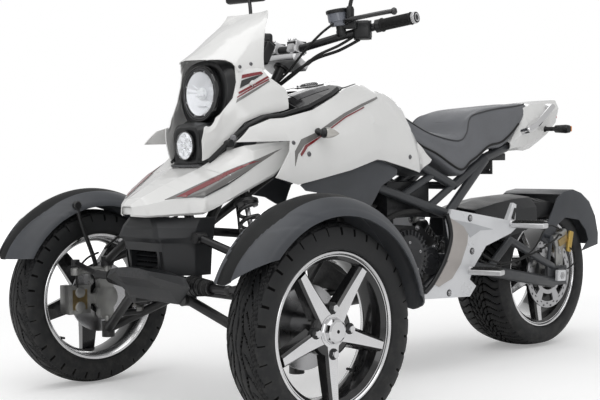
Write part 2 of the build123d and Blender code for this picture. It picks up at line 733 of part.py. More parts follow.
# Rear fender: an arch with a window in each side
REAR_FENDER_HALF = 126.0
with BuildPart() as rear_fender:
    side_view(
        [
            (1408, 380), (1508, 522), (1545, 542), (1600, 549), (1650, 535), (1700, 503), (1738, 450),
            (1757, 385), (1755, 345), (1657, 327), (1695, 364), (1680, 400), (1638, 439), (1553, 451),
            (1507, 428), (1489, 386), (1452, 361),
        ],
        -REAR_FENDER_HALF,
        REAR_FENDER_HALF,
    )
    side_view(
        [
            (1370, 340), (1500, 527), (1546, 537), (1600, 545), (1648, 531), (1697, 500), (1734, 448),
            (1753, 384), (1753, 300), (1370, 300),
        ],
        -REAR_FENDER_HALF + FENDER_WALL,
        REAR_FENDER_HALF - FENDER_WALL,
        mode=Mode.SUBTRACT,
    )
    tubes(both([[at(123, 1434, 394), at(151, 1432, 388), at(151, 1412, 299)]]), 7)
    add(swingarm.part, mode=Mode.SUBTRACT)
    add(rear_caliper.part, mode=Mode.SUBTRACT)
save(rear_fender, "rear_fender")

with BuildPart() as hugger:
    skin(
        [
            (1100, across([(118, 400), (112, 460), (84, 492), (0, 503)])),
            (1200, across([(121, 396), (117, 478), (90, 512), (0, 524)])),
            (1300, across([(121, 410), (118, 490), (92, 524), (0, 535)])),
            (1392, across([(121, 436), (119, 496), (92, 528), (0, 538)])),
        ]
    )
    for side in (1, -1):
        rod(at(side * 119, 1196, 402), at(side * 151, 1196, 389), 8)
    add(swingarm.part, mode=Mode.SUBTRACT)
    add(rear_fender.part, mode=Mode.SUBTRACT)
save(hugger, "hugger")

# Bodywork
with BuildPart() as side_panel:
    skin(
        [
            (-12, [(209, 640), (210, 670), (208, 700), (203, 730), (194, 760)]),
            (90, [(238, 596), (240, 640), (234, 690), (217, 740), (186, 796)]),
            (181, [(241, 584), (243, 628), (236, 692), (215, 755), (174, 822)]),
            (300, [(234, 598), (237, 650), (228, 715), (204, 782), (154, 852)]),
            (400, [(225, 612), (228, 668), (219, 735), (192, 804), (134, 872)]),
            (500, [(215, 634), (218, 698), (206, 768), (172, 840), (96, 898)]),
            (600, [(206, 618), (208, 694), (192, 776), (146, 854), (58, 908)]),
            (660, [(200, 606), (201, 684), (180, 768), (128, 844), (44, 904)]),
            (710, [(190, 604), (190, 672), (168, 744), (128, 806), (82, 858)]),
            (805, [(164, 612), (164, 652), (158, 690), (146, 730), (124, 770)]),
        ],
        ruled=False,
    )
    side_view(
        [
            (-8, 714), (37, 752), (116, 776), (162, 779), (278, 803), (385, 842), (455, 870),
            (560, 892), (643, 897), (674, 884), (704, 838), (712, 820), (694, 748), (800, 662),
            (790, 652), (714, 624), (540, 661), (504, 665), (389, 637), (242, 612), (175, 601),
            (98, 621), (150, 690), (160, 717),
        ],
        0,
        300,
        mode=Mode.INTERSECT,
    )
    rod(at(98, 500, 760), at(206, 500, 762), 8)
    rod(at(98, 590, 800), at(172, 590, 806), 8)
save_pair(side_panel, "side_panel")

with BuildPart() as tank:
    block(
        [
            (256, across([(80, 760), (150, 786), (166, 800), (92, 834), (30, 840)])),
            (372, across([(90, 720), (128, 800), (146, 840), (82, 866), (30, 870)])),
            (470, across([(92, 710), (116, 820), (112, 874), (60, 888), (24, 890)])),
            (560, across([(92, 710), (112, 800), (70, 892), (44, 900), (16, 902)])),
            (640, across([(90, 720), (100, 780), (46, 892), (30, 896), (12, 897)])),
            (668, across([(80, 720), (96, 790), (50, 870), (30, 880), (12, 882)])),
        ]
    )
    with Locations(at(0, 280, 800)):
        Box(96, 140, 300, mode=Mode.SUBTRACT)
    add(side_panel.part, mode=Mode.SUBTRACT)
    add(mirror(side_panel.part, about=Plane.YZ, mode=Mode.PRIVATE), mode=Mode.SUBTRACT)
    add(main_frame.part, mode=Mode.SUBTRACT)
save(tank, "tank")

with BuildPart() as side_scoop:
    skin(
        [
            (200, [(196, 560), (204, 590), (208, 615), (206, 640)]),
            (300, [(192, 548), (204, 585), (210, 618), (206, 650)]),
            (400, [(188, 520), (202, 575), (210, 625), (205, 665)]),
            (500, [(182, 500), (196, 560), (206, 625), (200, 680)]),
            (610, [(182, 540), (192, 590), (196, 625), (190, 660)]),
        ],
        wall=5,
        ruled=False,
    )
    side_view(
        [
            (217, 598), (300, 622), (400, 640), (504, 664), (540, 660), (609, 636), (604, 618),
            (538, 588), (502, 528), (470, 530), (430, 552), (300, 574), (240, 582),
        ],
        0,
        300,
        mode=Mode.INTERSECT,
    )
    rod(at(122, 520, 604), at(198, 520, 600), 8)
    add(side_panel.part, mode=Mode.SUBTRACT)
    add(main_frame.part, mode=Mode.SUBTRACT)
with BuildPart() as side_scoops:
    add(side_scoop.part)
    mirror(side_scoop.part, about=Plane.YZ)
save(side_scoops, "side_scoops")

with BuildPart() as seat:
    block(
        [
            (704, across([(60, 760), (86, 790), (80, 822), (50, 838)])),
            (777, across([(100, 700), (124, 715), (100, 775), (60, 790)])),
            (850, across([(120, 660), (140, 680), (118, 740), (70, 757)])),
            (950, across([(130, 606), (150, 630), (138, 720), (90, 742)])),
            (1000, across([(128, 632), (150, 655), (132, 745), (90, 748)])),
            (1040, across([(126, 652), (148, 672), (116, 796), (90, 792)])),
            (1105, across([(124, 690), (144, 706), (118, 815), (90, 823)])),
            (1190, across([(120, 700), (134, 722), (114, 828), (86, 835)])),
            (1290, across([(110, 766), (122, 780), (106, 838), (80, 844)])),
            (1380, across([(86, 844), (90, 846), (80, 850), (60, 852)])),
        ]
    )
    add(main_frame.part, mode=Mode.SUBTRACT)
save(seat, "seat")

with BuildPart() as tail_cowl:
    skin(
        [
            (1240, across([(116, 688), (124, 694), (127, 706), (124, 716), (114, 722)])),
            (1290, across([(112, 690), (122, 702), (126, 738), (112, 762), (60, 764)])),
            (1345, across([(98, 688), (114, 706), (121, 780), (98, 834), (60, 836)])),
            (1400, across([(84, 696), (106, 722), (114, 800), (88, 848), (60, 850)])),
            (1500, across([(50, 722), (88, 748), (100, 820), (76, 860), (50, 862)])),
            (1590, across([(30, 770), (60, 790), (72, 840), (58, 868), (40, 870)])),
        ]
    )
    add(seat.part, mode=Mode.SUBTRACT)
    add(main_frame.part, mode=Mode.SUBTRACT)
save(tail_cowl, "tail_cowl")

with BuildPart() as grab_rails:
    tubes(
        both([[at(122, 1310, 752), at(150, 1310, 758), at(150, 1350, 772), at(128, 1474, 840),
               at(97, 1488, 842)]]),
        10,
    )
    add(tail_cowl.part, mode=Mode.SUBTRACT)
    add(seat.part, mode=Mode.SUBTRACT)
save(grab_rails, "grab_rails")

with BuildPart() as tail_lamp:
    block(
        [
            (1574, across([(64, 798), (73, 838), (69, 846)])),
            (1586, across([(60, 798), (69, 838), (65, 846)])),
        ]
    )
    add(tail_cowl.part, mode=Mode.SUBTRACT)
save(tail_lamp, "tail_lamp")

with BuildPart() as indicators:
    for side in (1, -1):
        rod(at(side * 219.6, 268, 741), at(side * 246, 266, 738), 8)
        rod(at(side * 246, 262, 738), at(side * 262, 290, 736), 14)
        rod(at(side * 94, 1476, 764), at(side * 140, 1476, 763), 8)
        rod(at(side * 140, 1476, 763), at(side * 200, 1475, 761), 13)
    add(side_panel.part, mode=Mode.SUBTRACT)
    add(mirror(side_panel.part, about=Plane.YZ, mode=Mode.PRIVATE), mode=Mode.SUBTRACT)
    add(tail_cowl.part, mode=Mode.SUBTRACT)
save(indicators, "indicators")

with BuildPart() as plate_bracket:
    with Locations(at(0, 1290, 668)):
        Box(76, 70, 24)
    with Locations(at(0, 1262, 634)):
        Box(60, 6, 50)
    for side in (1, -1):
        rod(at(side * 24, 1318, 676), at(side * 24, 1328, 722), 6)
        x = side * PLATE_BOLT_SPACING / 2
        rod(at(x, 1250, 624), at(x, 1275, 624), PLATE_BOLT_RADIUS, mode=Mode.SUBTRACT)
    add(main_frame.part, mode=Mode.SUBTRACT)
    add(tail_cowl.part, mode=Mode.SUBTRACT)
save(plate_bracket, "plate_bracket")

WING = [
    (-16, [(180, 561), (191, 569), (182, 628), (122, 641), (62, 649)]),
    (40, [(188, 586), (197, 596), (192, 652), (150, 678), (108, 694)]),
    (68, [(192, 599), (200, 609), (196, 668), (174, 690), (148, 706)]),
    (128, [(195, 624), (203, 634), (203, 690), (192, 703), (176, 713)]),
    (192, [(195, 676), (203, 686), (206, 706), (203, 713), (198, 718)]),
]
with BuildPart() as nose_cowl:
    skin(
        [
            (-208, across([(18, 526), (26, 531), (25, 550), (16, 555)])),
            (-185, across([(50, 523), (64, 528), (58, 556), (26, 571)])),
            (-113, across([(124, 527), (144, 534), (136, 578), (36, 606)])),
            (-80, across([(158, 530), (174, 536), (163, 592), (46, 621)])),
            (-12, across([(180, 563), (191, 571), (182, 630), (62, 650)])),
        ]
    )
    for side in (1, -1):
        skin([(y, [(side * x, z) for x, z in points][::side]) for y, points in WING])
    add(front_frame.part, mode=Mode.SUBTRACT)
save(nose_cowl, "nose_cowl")

GRILLE_TOP = 434.0
GRILLE_LOW = 384.0
with BuildPart() as front_bumper:
    skin(
        [
            (372, round_front([(70, -150), (82, -148), (136, -90), (140, -44)])),
            (456, round_front([(70, -163), (84, -160), (139, -93), (143, -40)])),
            (470, round_front([(74, -178), (90, -174), (142, -94), (146, -38)])),
            (496, round_front([(64, -172), (80, -168), (144, -92), (148, -36)])),
            (522, round_front([(40, -165), (58, -160), (146, -80), (151, -34)])),
        ],
        wall=5,
        lay=level,
    )
    for low_x, high_x in ((-62, 62), (72, 82), (-82, -72)):
        with Locations(at((low_x + high_x) / 2, -150, (GRILLE_TOP + GRILLE_LOW) / 2)):
            Box(high_x - low_x, 60, GRILLE_TOP - GRILLE_LOW, mode=Mode.SUBTRACT)
    for k in range(3):
        with Locations(Location(at(0, -136, GRILLE_LOW + 12 + 13 * k), (30, 0, 0))):
            Box(124, 14, 3)
    for x in (-62, 62):
        with Locations(at(x, -140, (GRILLE_TOP + GRILLE_LOW) / 2)):
            Box(5, 30, GRILLE_TOP - GRILLE_LOW)
    add(front_frame.part, mode=Mode.SUBTRACT)
    add(nose_cowl.part, mode=Mode.SUBTRACT)
    add(suspension_arms.part, mode=Mode.SUBTRACT)
save(front_bumper, "front_bumper")

with BuildPart() as skid_plate:
    block(
        [
            (-196, across([(60, 366), (80, 376), (70, 388), (30, 392)])),
            (-150, across([(100, 338), (190, 350), (170, 374), (60, 388)])),
            (-128, across([(110, 300), (150, 330), (140, 368), (60, 384)])),
        ]
    )
    add(front_frame.part, mode=Mode.SUBTRACT)
    add(suspension_arms.part, mode=Mode.SUBTRACT)
    add(steering_rack.part, mode=Mode.SUBTRACT)
    add(front_bumper.part, mode=Mode.SUBTRACT)
save(skid_plate, "skid_plate")

with BuildPart() as radiator:
    with Locations(at(0, -104, 440)):
        Box(150, 24, 90)
    for side in (1, -1):
        rod(at(side * 50, -95, 470), at(side * 50, -62, 470), 8)
    add(front_frame.part, mode=Mode.SUBTRACT)
    add(front_bumper.part, mode=Mode.SUBTRACT)
    add(suspension_arms.part, mode=Mode.SUBTRACT)
save(radiator, "radiator")

LAMP_Z = 849.0
LAMP_FACE_Y = 2.0
LOWER_LAMP_FACE_Y = -30.0
with BuildPart() as headlight_housing:
    block(
        [
            (LAMP_FACE_Y, across([(54, 760), (74, 790), (90, 822), (96, 858), (86, 900), (56, 930),
                                  (26, 938)])),
            (60, across([(64, 752), (98, 786), (112, 822), (116, 866), (112, 902), (84, 928),
                         (36, 940)])),
            (110, across([(64, 752), (96, 786), (112, 822), (114, 866), (108, 900), (80, 924),
                          (36, 932)])),
        ]
    )
    block(
        [
            (LOWER_LAMP_FACE_Y, across([(50, 656), (54, 664), (54, 736), (44, 752)])),
            (-8, across([(60, 654), (66, 664), (68, 742), (58, 766)])),
            (60, across([(60, 660), (68, 670), (72, 760), (64, 790)])),
        ]
    )
    add(nose_cowl.part, mode=Mode.SUBTRACT)
save(headlight_housing, "headlight_housing")

with BuildPart() as headlight:
    face_y = LAMP_FACE_Y - CLEARANCE
    rod(at(0, face_y, LAMP_Z), at(0, face_y - 12, LAMP_Z), 76)
    rod(at(0, face_y - 12, LAMP_Z), at(0, face_y - 18, LAMP_Z), 62)
save(headlight, "headlight")

with BuildPart() as lower_lamp:
    face_y = LOWER_LAMP_FACE_Y - CLEARANCE
    rod(at(0, face_y, 708), at(0, face_y - 8, 708), 40)
save(lower_lamp, "lower_lamp")

COWL = [
    (-26, [(62, 650), (72, 680), (79, 710), (84, 740), (86, 770)]),
    (20, [(92, 680), (101, 715), (107, 750), (110, 785), (108, 820)]),
    (60, [(124, 720), (134, 765), (134, 820), (126, 872), (116, 935)]),
    (110, [(154, 760), (160, 800), (153, 850), (137, 898), (118, 940)]),
    (160, [(166, 775), (168, 815), (160, 860), (142, 902), (122, 940)]),
    (212, [(172, 785), (174, 820), (166, 860), (148, 900), (126, 935)]),
]
with BuildPart() as cowl_side:
    skin(COWL, ruled=False)
    side_view(
        [
            (-14, 667), (-22, 720), (-18, 755), (20, 790), (50, 832), (62, 875), (64, 925), (140, 916),
            (155, 893), (198, 862), (205, 850), (205, 806), (189, 800), (116, 787), (74, 768),
            (44, 728), (4, 676),
        ],
        0,
        300,
        mode=Mode.INTERSECT,
    )
    rod(at(96, 100, 872), at(150, 100, 872), 8)
    add(headlight_housing.part, mode=Mode.SUBTRACT)
    add(nose_cowl.part, mode=Mode.SUBTRACT)
    add(side_panel.part, mode=Mode.SUBTRACT)
with BuildPart() as headlight_cowl:
    add(cowl_side.part)
    mirror(cowl_side.part, about=Plane.YZ)
save(headlight_cowl, "headlight_cowl")

with BuildPart() as flyscreen:
    skin(
        [
            (898, round_front([(0, -62), (54, -34), (100, 12), (126, 62), (136, 156)])),
            (938, round_front([(0, -11), (50, 8), (92, 38), (119, 74), (132, 152)])),
            (968, round_front([(0, 38), (47, 52), (87, 76), (112, 104), (126, 158)])),
            (1004, round_front([(0, 90), (43, 99), (79, 116), (104, 138), (118, 168)])),
            (1047, round_front([(0, 161), (37, 165), (69, 172), (93, 180), (104, 188)])),
            (1080, round_front([(0, 222), (30, 220), (55, 215), (76, 208), (86, 204)])),
        ],
        ruled=False,
        lay=level,
    )
    side_view(
        [
            (-20, 937), (44, 935), (57, 926), (68, 903), (110, 900), (147, 908), (160, 916),
            (166, 970), (178, 1012), (192, 1052), (229, 1083), (215, 1090), (60, 1030),
        ],
        -200,
        200,
        mode=Mode.INTERSECT,
    )
    add(headlight_cowl.part, mode=Mode.SUBTRACT)
    add(headlight_housing.part, mode=Mode.SUBTRACT)
save(flyscreen, "flyscreen")

# Black trim that follows the lower edge of the lamp cowl and the upper edge of the side panels
with BuildPart() as cowl_trim:
    tubes(
        both([[at(80, 0, 664), at(122, 50, 727), at(152, 84, 762), at(170, 122, 781),
               at(178, 172, 786), at(168, 280, 812), at(146, 385, 850), at(128, 430, 868)]]),
        7,
    )
    for side in (1, -1):
        rod(at(side * 106, 40, 712), at(side * 128, 40, 712), 10)
    add(headlight_housing.part, mode=Mode.SUBTRACT)
    add(headlight_cowl.part, mode=Mode.SUBTRACT)
    add(nose_cowl.part, mode=Mode.SUBTRACT)
    add(side_panel.part, mode=Mode.SUBTRACT)
    add(mirror(side_panel.part, about=Plane.YZ, mode=Mode.PRIVATE), mode=Mode.SUBTRACT)
    add(tank.part, mode=Mode.SUBTRACT)
    add(main_frame.part, mode=Mode.SUBTRACT)
save(cowl_trim, "cowl_trim")

with BuildPart() as instrument:
    with Locations(Location(at(0, 255, 990), (-30, 0, 0))):
        Box(120, 40, 80)
    rod(at(0, 104, 926), at(0, 245, 975), 9)
    add(flyscreen.part, mode=Mode.SUBTRACT)
    add(headlight_cowl.part, mode=Mode.SUBTRACT)
    add(headlight_housing.part, mode=Mode.SUBTRACT)
save(instrument, "instrument")

# Footrest plates and pegs
PLATE_X = 188.0
with BuildPart() as footrest_plates:
    for side in (1, -1):
        with BuildSketch(Plane.YZ.offset(side * PLATE_X)):
            with BuildLine():
                Polyline(
                    *[at(0, y, z)[1:] for y, z in (
                        (848, 509), (1122, 464), (1155, 518), (1170, 512), (1162, 452), (1180, 441),
                        (1138, 419), (1012, 386), (981, 354), (954, 327), (930, 286), (961, 263),
                        (930, 232), (704, 243), (760, 285), (818, 337), (847, 401), (830, 477),
                    )],
                    close=True,
                )
            make_face()
        extrude(amount=side * 14)
        for y, z in ((905, 478), (905, 390), (790, 262)):
            rod(at(side * 150, y, z), at(side * PLATE_X, y, z), 9)
    add(main_frame.part, mode=Mode.SUBTRACT)
    add(swingarm.part, mode=Mode.SUBTRACT)
    add(engine.part, mode=Mode.SUBTRACT)
    add(exhaust.part, mode=Mode.SUBTRACT)
save(footrest_plates, "footrest_plates")

with BuildPart() as footpegs:
    for side in (1, -1):
        with Locations(Location(at(side * 254, 950, 314), (0, 0, side * 18))):
            Box(100, 34, 26)
        with Locations(Location(at(side * 260, 1160, 450), (0, 0, side * 12))):
            Box(112, 30, 24)
        rod(at(side * 196, 935, 318), at(side * 212, 937, 318), 12)
        rod(at(side * 196, 1150, 448), at(side * 212, 1150, 448), 12)
    add(footrest_plates.part, mode=Mode.SUBTRACT)
    add(exhaust.part, mode=Mode.SUBTRACT)
save(footpegs, "footpegs")
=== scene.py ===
"""Looks of the motorized trike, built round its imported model.

The file is laid out as an add-on: sizes and colours are properties, each group of pieces is made by
one operator and a panel in the sidebar lists them. Everything is in metres. at() takes millimetres
from the front axle: x to the rider's left, y backwards and z above the floor.
"""

import math

import bmesh
import bpy
from mathutils import Matrix, Vector
from mathutils.bvhtree import BVHTree


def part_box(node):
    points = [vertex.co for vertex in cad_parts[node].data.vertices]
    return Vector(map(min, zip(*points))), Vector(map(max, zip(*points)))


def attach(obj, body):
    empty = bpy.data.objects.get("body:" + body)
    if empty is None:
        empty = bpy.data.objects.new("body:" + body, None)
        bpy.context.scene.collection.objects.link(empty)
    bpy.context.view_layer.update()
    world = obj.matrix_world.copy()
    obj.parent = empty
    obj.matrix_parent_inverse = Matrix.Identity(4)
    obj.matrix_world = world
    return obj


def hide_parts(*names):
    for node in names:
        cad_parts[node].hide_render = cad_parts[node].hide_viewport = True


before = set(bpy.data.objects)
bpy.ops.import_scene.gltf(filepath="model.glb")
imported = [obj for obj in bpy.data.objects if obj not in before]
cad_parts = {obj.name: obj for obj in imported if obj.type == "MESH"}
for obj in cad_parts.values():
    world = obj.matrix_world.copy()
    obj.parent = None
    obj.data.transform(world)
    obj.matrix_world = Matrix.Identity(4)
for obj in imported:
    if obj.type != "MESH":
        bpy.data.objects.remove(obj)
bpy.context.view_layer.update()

bl_info = {
    "name": "Motorized trike",
    "version": (1, 0, 0),
    "blender": (4, 5, 0),
    "location": "View3D > Sidebar > Trike",
    "description": "Dresses the packed motorized trike with detailed wheels, bodywork, lamps and finishes",
    "category": "Object",
}

FRONT_LOW, FRONT_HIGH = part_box("front_tyre_left")
REAR_LOW, REAR_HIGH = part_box("rear_tyre")
FRONT_AXLE_Y = (FRONT_LOW[1] + FRONT_HIGH[1]) / 2
REAR_AXLE_Y = (REAR_LOW[1] + REAR_HIGH[1]) / 2
FRONT_WHEEL_X = (FRONT_LOW[0] + FRONT_HIGH[0]) / 2
FRONT_TYRE_RADIUS = (FRONT_HIGH[2] - FRONT_LOW[2]) / 2
REAR_TYRE_RADIUS = (REAR_HIGH[2] - REAR_LOW[2]) / 2
FRONT_TYRE_WIDTH = FRONT_HIGH[0] - FRONT_LOW[0]
REAR_TYRE_WIDTH = REAR_HIGH[0] - REAR_LOW[0]
MM = 0.001
SIDES = (("left", 1), ("right", -1))


def at(x, y, z):
    """A place in the frame from millimetres behind the front axle."""
    return Vector((x * MM, FRONT_AXLE_Y + y * MM, z * MM))


# Properties


def colour_property(name, description, default):
    """A colour that a user would change."""
    return bpy.props.FloatVectorProperty(name=name, description=description, subtype="COLOR", size=3,
                                         default=default, min=0, max=1)


def length_property(name, description, default):
    """A length in metres."""
    return bpy.props.FloatProperty(name=name, description=description, unit="LENGTH", default=default)


class TrikeFinishes(bpy.types.PropertyGroup):
    """Colours a user would change."""

    body: colour_property("Body", "Gloss paint of the bodywork", (0.80, 0.80, 0.79))
    guard: colour_property("Guards", "Matte plastic of the wheel guards", (0.050, 0.054, 0.062))
    seat: colour_property("Seat", "Grained seat cover", (0.145, 0.150, 0.162))
    stripe: colour_property("Stripe", "Red of the body stripes", (0.20, 0.012, 0.018))
    frame_tube: colour_property("Frame", "Paint of the frame tubes", (0.040, 0.043, 0.048))


class TrikeWheels(bpy.types.PropertyGroup):
    """Sizes of the rims and treads."""

    lip_radius: length_property("Lip radius", "Outer radius of the rim lips", 0.190)
    barrel_radius: length_property("Barrel radius", "Inner radius of the rim barrel", 0.165)
    seat_radius: length_property("Seat radius", "Radius of the tyre's seat on the rim", 0.178)
    spokes: bpy.props.IntProperty(name="Spokes", description="Spokes in each rim", default=5, min=3, max=9)
    groove_depth: length_property("Groove depth", "Depth of the tread grooves", 0.0066)


class TrikeStage(bpy.types.PropertyGroup):
    """Floor and lamps of the plain studio."""

    floor: colour_property("Floor", "Colour of the floor", (0.90, 0.90, 0.90))
    key: bpy.props.FloatProperty(
        name="Key lamp", description="Power of the large overhead lamp", unit="POWER", default=46.0)
    fill: bpy.props.FloatProperty(
        name="Fill lamp", description="Power of the lamp beside the camera", unit="POWER", default=16.0)


# Shared shader effects


def new_group(name, inputs, outputs):
    """An empty shader group with its sockets."""
    group = bpy.data.node_groups.new(name, "ShaderNodeTree")
    for kind, label, value in inputs:
        socket = group.interface.new_socket(name=label, in_out="INPUT", socket_type=kind)
        if value is not None:
            socket.default_value = value
    for kind, label in outputs:
        group.interface.new_socket(name=label, in_out="OUTPUT", socket_type=kind)
    return group, group.nodes.new("NodeGroupInput"), group.nodes.new("NodeGroupOutput")


def node(tree, kind, inputs=None, **settings):
    """A node with its settings and its inputs set or linked."""
    made = tree.nodes.new(kind)
    for key, value in settings.items():
        setattr(made, key, value)
    for key, value in (inputs or {}).items():
        socket = made.inputs[key]
        if isinstance(value, bpy.types.NodeSocket):
            tree.links.new(value, socket)
        else:
            socket.default_value = value
    return made


def maths(tree, operation, *values):
    """The result of a math node."""
    return node(tree, "ShaderNodeMath", dict(enumerate(values)), operation=operation).outputs[0]


def ramp(tree, value, low, high, to_low=0.0, to_high=1.0):
    """A value taken smoothly from one range to another."""
    made = node(tree, "ShaderNodeMapRange", {
        "Value": value, "From Min": low, "From Max": high, "To Min": to_low, "To Max": to_high,
    }, interpolation_type="SMOOTHSTEP")
    return made.outputs["Result"]


def blend(tree, factor, first, second):
    """Two colours mixed by a factor."""
    made = node(tree, "ShaderNodeMix", data_type="RGBA")
    for index, value in ((0, factor), (6, first), (7, second)):
        if isinstance(value, bpy.types.NodeSocket):
            tree.links.new(value, made.inputs[index])
        else:
            made.inputs[index].default_value = value
    return made.outputs[2]


def noise(tree, where, scale, detail=3.0, rough=0.55):
    """Noise over a place vector."""
    made = node(tree, "ShaderNodeTexNoise", {"Vector": where, "Scale": scale, "Detail": detail,
                                             "Roughness": rough})
    return made.outputs["Fac"]


def effect_group(name, sizes, outputs):
    """An effect group: its tree, its input sockets and a way to link its results."""
    inputs = [("NodeSocketVector", "Place", None)]
    inputs += [("NodeSocketVector" if value is None else "NodeSocketFloat", label, value)
               for label, value in sizes]
    group, given, out = new_group(name, inputs, [("NodeSocketFloat", label) for label in outputs])

    def send(**results):
        for label, value in results.items():
            group.links.new(value, out.inputs[label])
        return group

    return group, given.outputs, send


def grain_group():
    """Fine moulded or cast grain: a value round 0.5 and a height."""
    group, given, send = effect_group("fine_grain", [("Scale", 900.0)], ("Value", "Height"))
    fine = noise(group, given["Place"], given["Scale"], 2.0)
    return send(Value=noise(group, given["Place"], 9.0, 3.0), Height=fine)


def masked(group, first, second, amount):
    """Two masks multiplied and taken at an amount."""
    return maths(group, "MULTIPLY", maths(group, "MULTIPLY", first, second), amount)


def dust_group():
    """Road dust that thickens towards the floor and lies in patches."""
    group, given, send = effect_group("road_dust", [("Amount", 0.3), ("Top", 0.55)], ("Mask",))
    split = node(group, "ShaderNodeSeparateXYZ", {0: given["Place"]})
    low = ramp(group, split.outputs["Z"], given["Top"], 0.0)
    patches = ramp(group, noise(group, given["Place"], 34.0, 5.0, 0.65), 0.38, 0.72)
    return send(Mask=masked(group, low, patches, given["Amount"]))


def wear_group():
    """Rubbed edges from the pointed parts of the mesh, broken up by noise."""
    group, given, send = effect_group("edge_wear", [("Amount", 0.5)], ("Mask",))
    edge = ramp(group, node(group, "ShaderNodeNewGeometry").outputs["Pointiness"], 0.52, 0.62)
    broken = ramp(group, noise(group, given["Place"], 120.0, 4.0), 0.35, 0.7)
    return send(Mask=masked(group, edge, broken, given["Amount"]))


def leather_group():
    """Leather grain: small cells with creases between them."""
    group, given, send = effect_group("leather_grain", [("Scale", 420.0)], ("Creases", "Height"))
    cells = node(group, "ShaderNodeTexVoronoi", {
        "Vector": given["Place"], "Scale": given["Scale"], "Randomness": 1.0,
    }, feature="DISTANCE_TO_EDGE")
    crease = ramp(group, cells.outputs["Distance"], 0.0, 0.12)
    lumps = maths(group, "MULTIPLY", noise(group, given["Place"], 160.0, 3.0), 0.6)
    return send(Creases=crease, Height=maths(group, "ADD", crease, lumps))


def lathe_group():
    """Fine turning marks round an axis that runs across the vehicle."""
    group, given, send = effect_group("lathe_marks", [("Centre", None), ("Scale", 1400.0)], ("Height",))
    away = node(group, "ShaderNodeVectorMath", {0: given["Place"], 1: given["Centre"]},
                operation="SUBTRACT").outputs[0]
    flat = node(group, "ShaderNodeVectorMath", {0: away, 1: (0.0, 1.0, 1.0)},
                operation="MULTIPLY").outputs[0]
    radius = node(group, "ShaderNodeVectorMath", {0: flat}, operation="LENGTH").outputs["Value"]
    rings = maths(group, "SINE", maths(group, "MULTIPLY", radius, given["Scale"]))
    return send(Height=maths(group, "ADD", rings, noise(group, given["Place"], 260.0, 4.0, 0.7)))


EFFECTS = {}
FINISHES = {}


def effect(tree, name, where, **values):
    """An effect group placed in a material."""
    made = node(tree, "ShaderNodeGroup", node_tree=EFFECTS[name])
    tree.links.new(where, made.inputs["Place"])
    for key, value in values.items():
        made.inputs[key.replace("_", " ").capitalize()].default_value = value
    return made.outputs


def add_bump(tree, height, strength, distance):
    """A bump on the material's shader."""
    bump = node(tree, "ShaderNodeBump", {"Height": height, "Strength": strength, "Distance": distance})
    tree.links.new(bump.outputs[0], tree.nodes["Principled BSDF"].inputs["Normal"])


def finish(name, colour, rough, metal=0.0, coat=0.0, grain=(900.0, 0.0), vary=0.12, dust=0.0,
           wear=None, sheen=0.0, specular=0.5):
    """A material with colour variation, grain, road dust and rubbed edges."""
    material = bpy.data.materials.new(name)
    material.use_nodes = True
    tree = material.node_tree
    shader = tree.nodes["Principled BSDF"]
    where = node(tree, "ShaderNodeTexCoord").outputs["Object"]
    given = effect(tree, "fine_grain", where, scale=grain[0])
    dark = tuple(c * (1 - vary) for c in colour) + (1.0,)
    light = tuple(min(c * (1 + vary), 1.0) for c in colour) + (1.0,)
    tone = blend(tree, ramp(tree, given["Value"], 0.35, 0.65), dark, light)
    roughness = ramp(tree, given["Value"], 0.3, 0.7, rough * 0.88, min(rough * 1.12, 1.0))
    if wear:
        rubbed = effect(tree, "edge_wear", where, amount=wear[1])["Mask"]
        tone = blend(tree, rubbed, tone, wear[0] + (1.0,))
    if dust:
        mask = effect(tree, "road_dust", where, amount=dust)["Mask"]
        tone = blend(tree, mask, tone, (0.33, 0.31, 0.28, 1.0))
        roughness = maths(tree, "ADD", roughness, maths(tree, "MULTIPLY", mask, 0.35))
    tree.links.new(tone, shader.inputs["Base Color"])
    tree.links.new(roughness, shader.inputs["Roughness"])
    if grain[1]:
        add_bump(tree, given["Height"], grain[1], 0.0004)
    shader.inputs["Metallic"].default_value = metal
    shader.inputs["Coat Weight"].default_value = coat
    shader.inputs["Coat Roughness"].default_value = 0.04
    shader.inputs["Sheen Weight"].default_value = sheen
    shader.inputs["Specular IOR Level"].default_value = specular
    FINISHES[name] = material
    return material


def leather(name, colour):
    """Soft grained cover material."""
    material = finish(name, colour, 0.50, vary=0.06, specular=0.42)
    tree = material.node_tree
    where = node(tree, "ShaderNodeTexCoord").outputs["Object"]
    add_bump(tree, effect(tree, "leather_grain", where)["Height"], 0.35, 0.0005)


def machined(name, centre):
    """Bright turned metal with rings round a wheel's centre."""
    material = finish(name, (0.80, 0.80, 0.81), 0.20, metal=1.0, vary=0.04)
    tree = material.node_tree
    where = node(tree, "ShaderNodeTexCoord").outputs["Object"]
    add_bump(tree, effect(tree, "lathe_marks", where, centre=tuple(centre))["Height"], 0.10, 0.0002)


def clear_lens(name, tint, rough=0.02):
    """Moulded lens plastic."""
    material = finish(name, tint, rough, vary=0.02)
    shader = material.node_tree.nodes["Principled BSDF"]
    shader.inputs["Transmission Weight"].default_value = 0.97
    shader.inputs["IOR"].default_value = 1.12


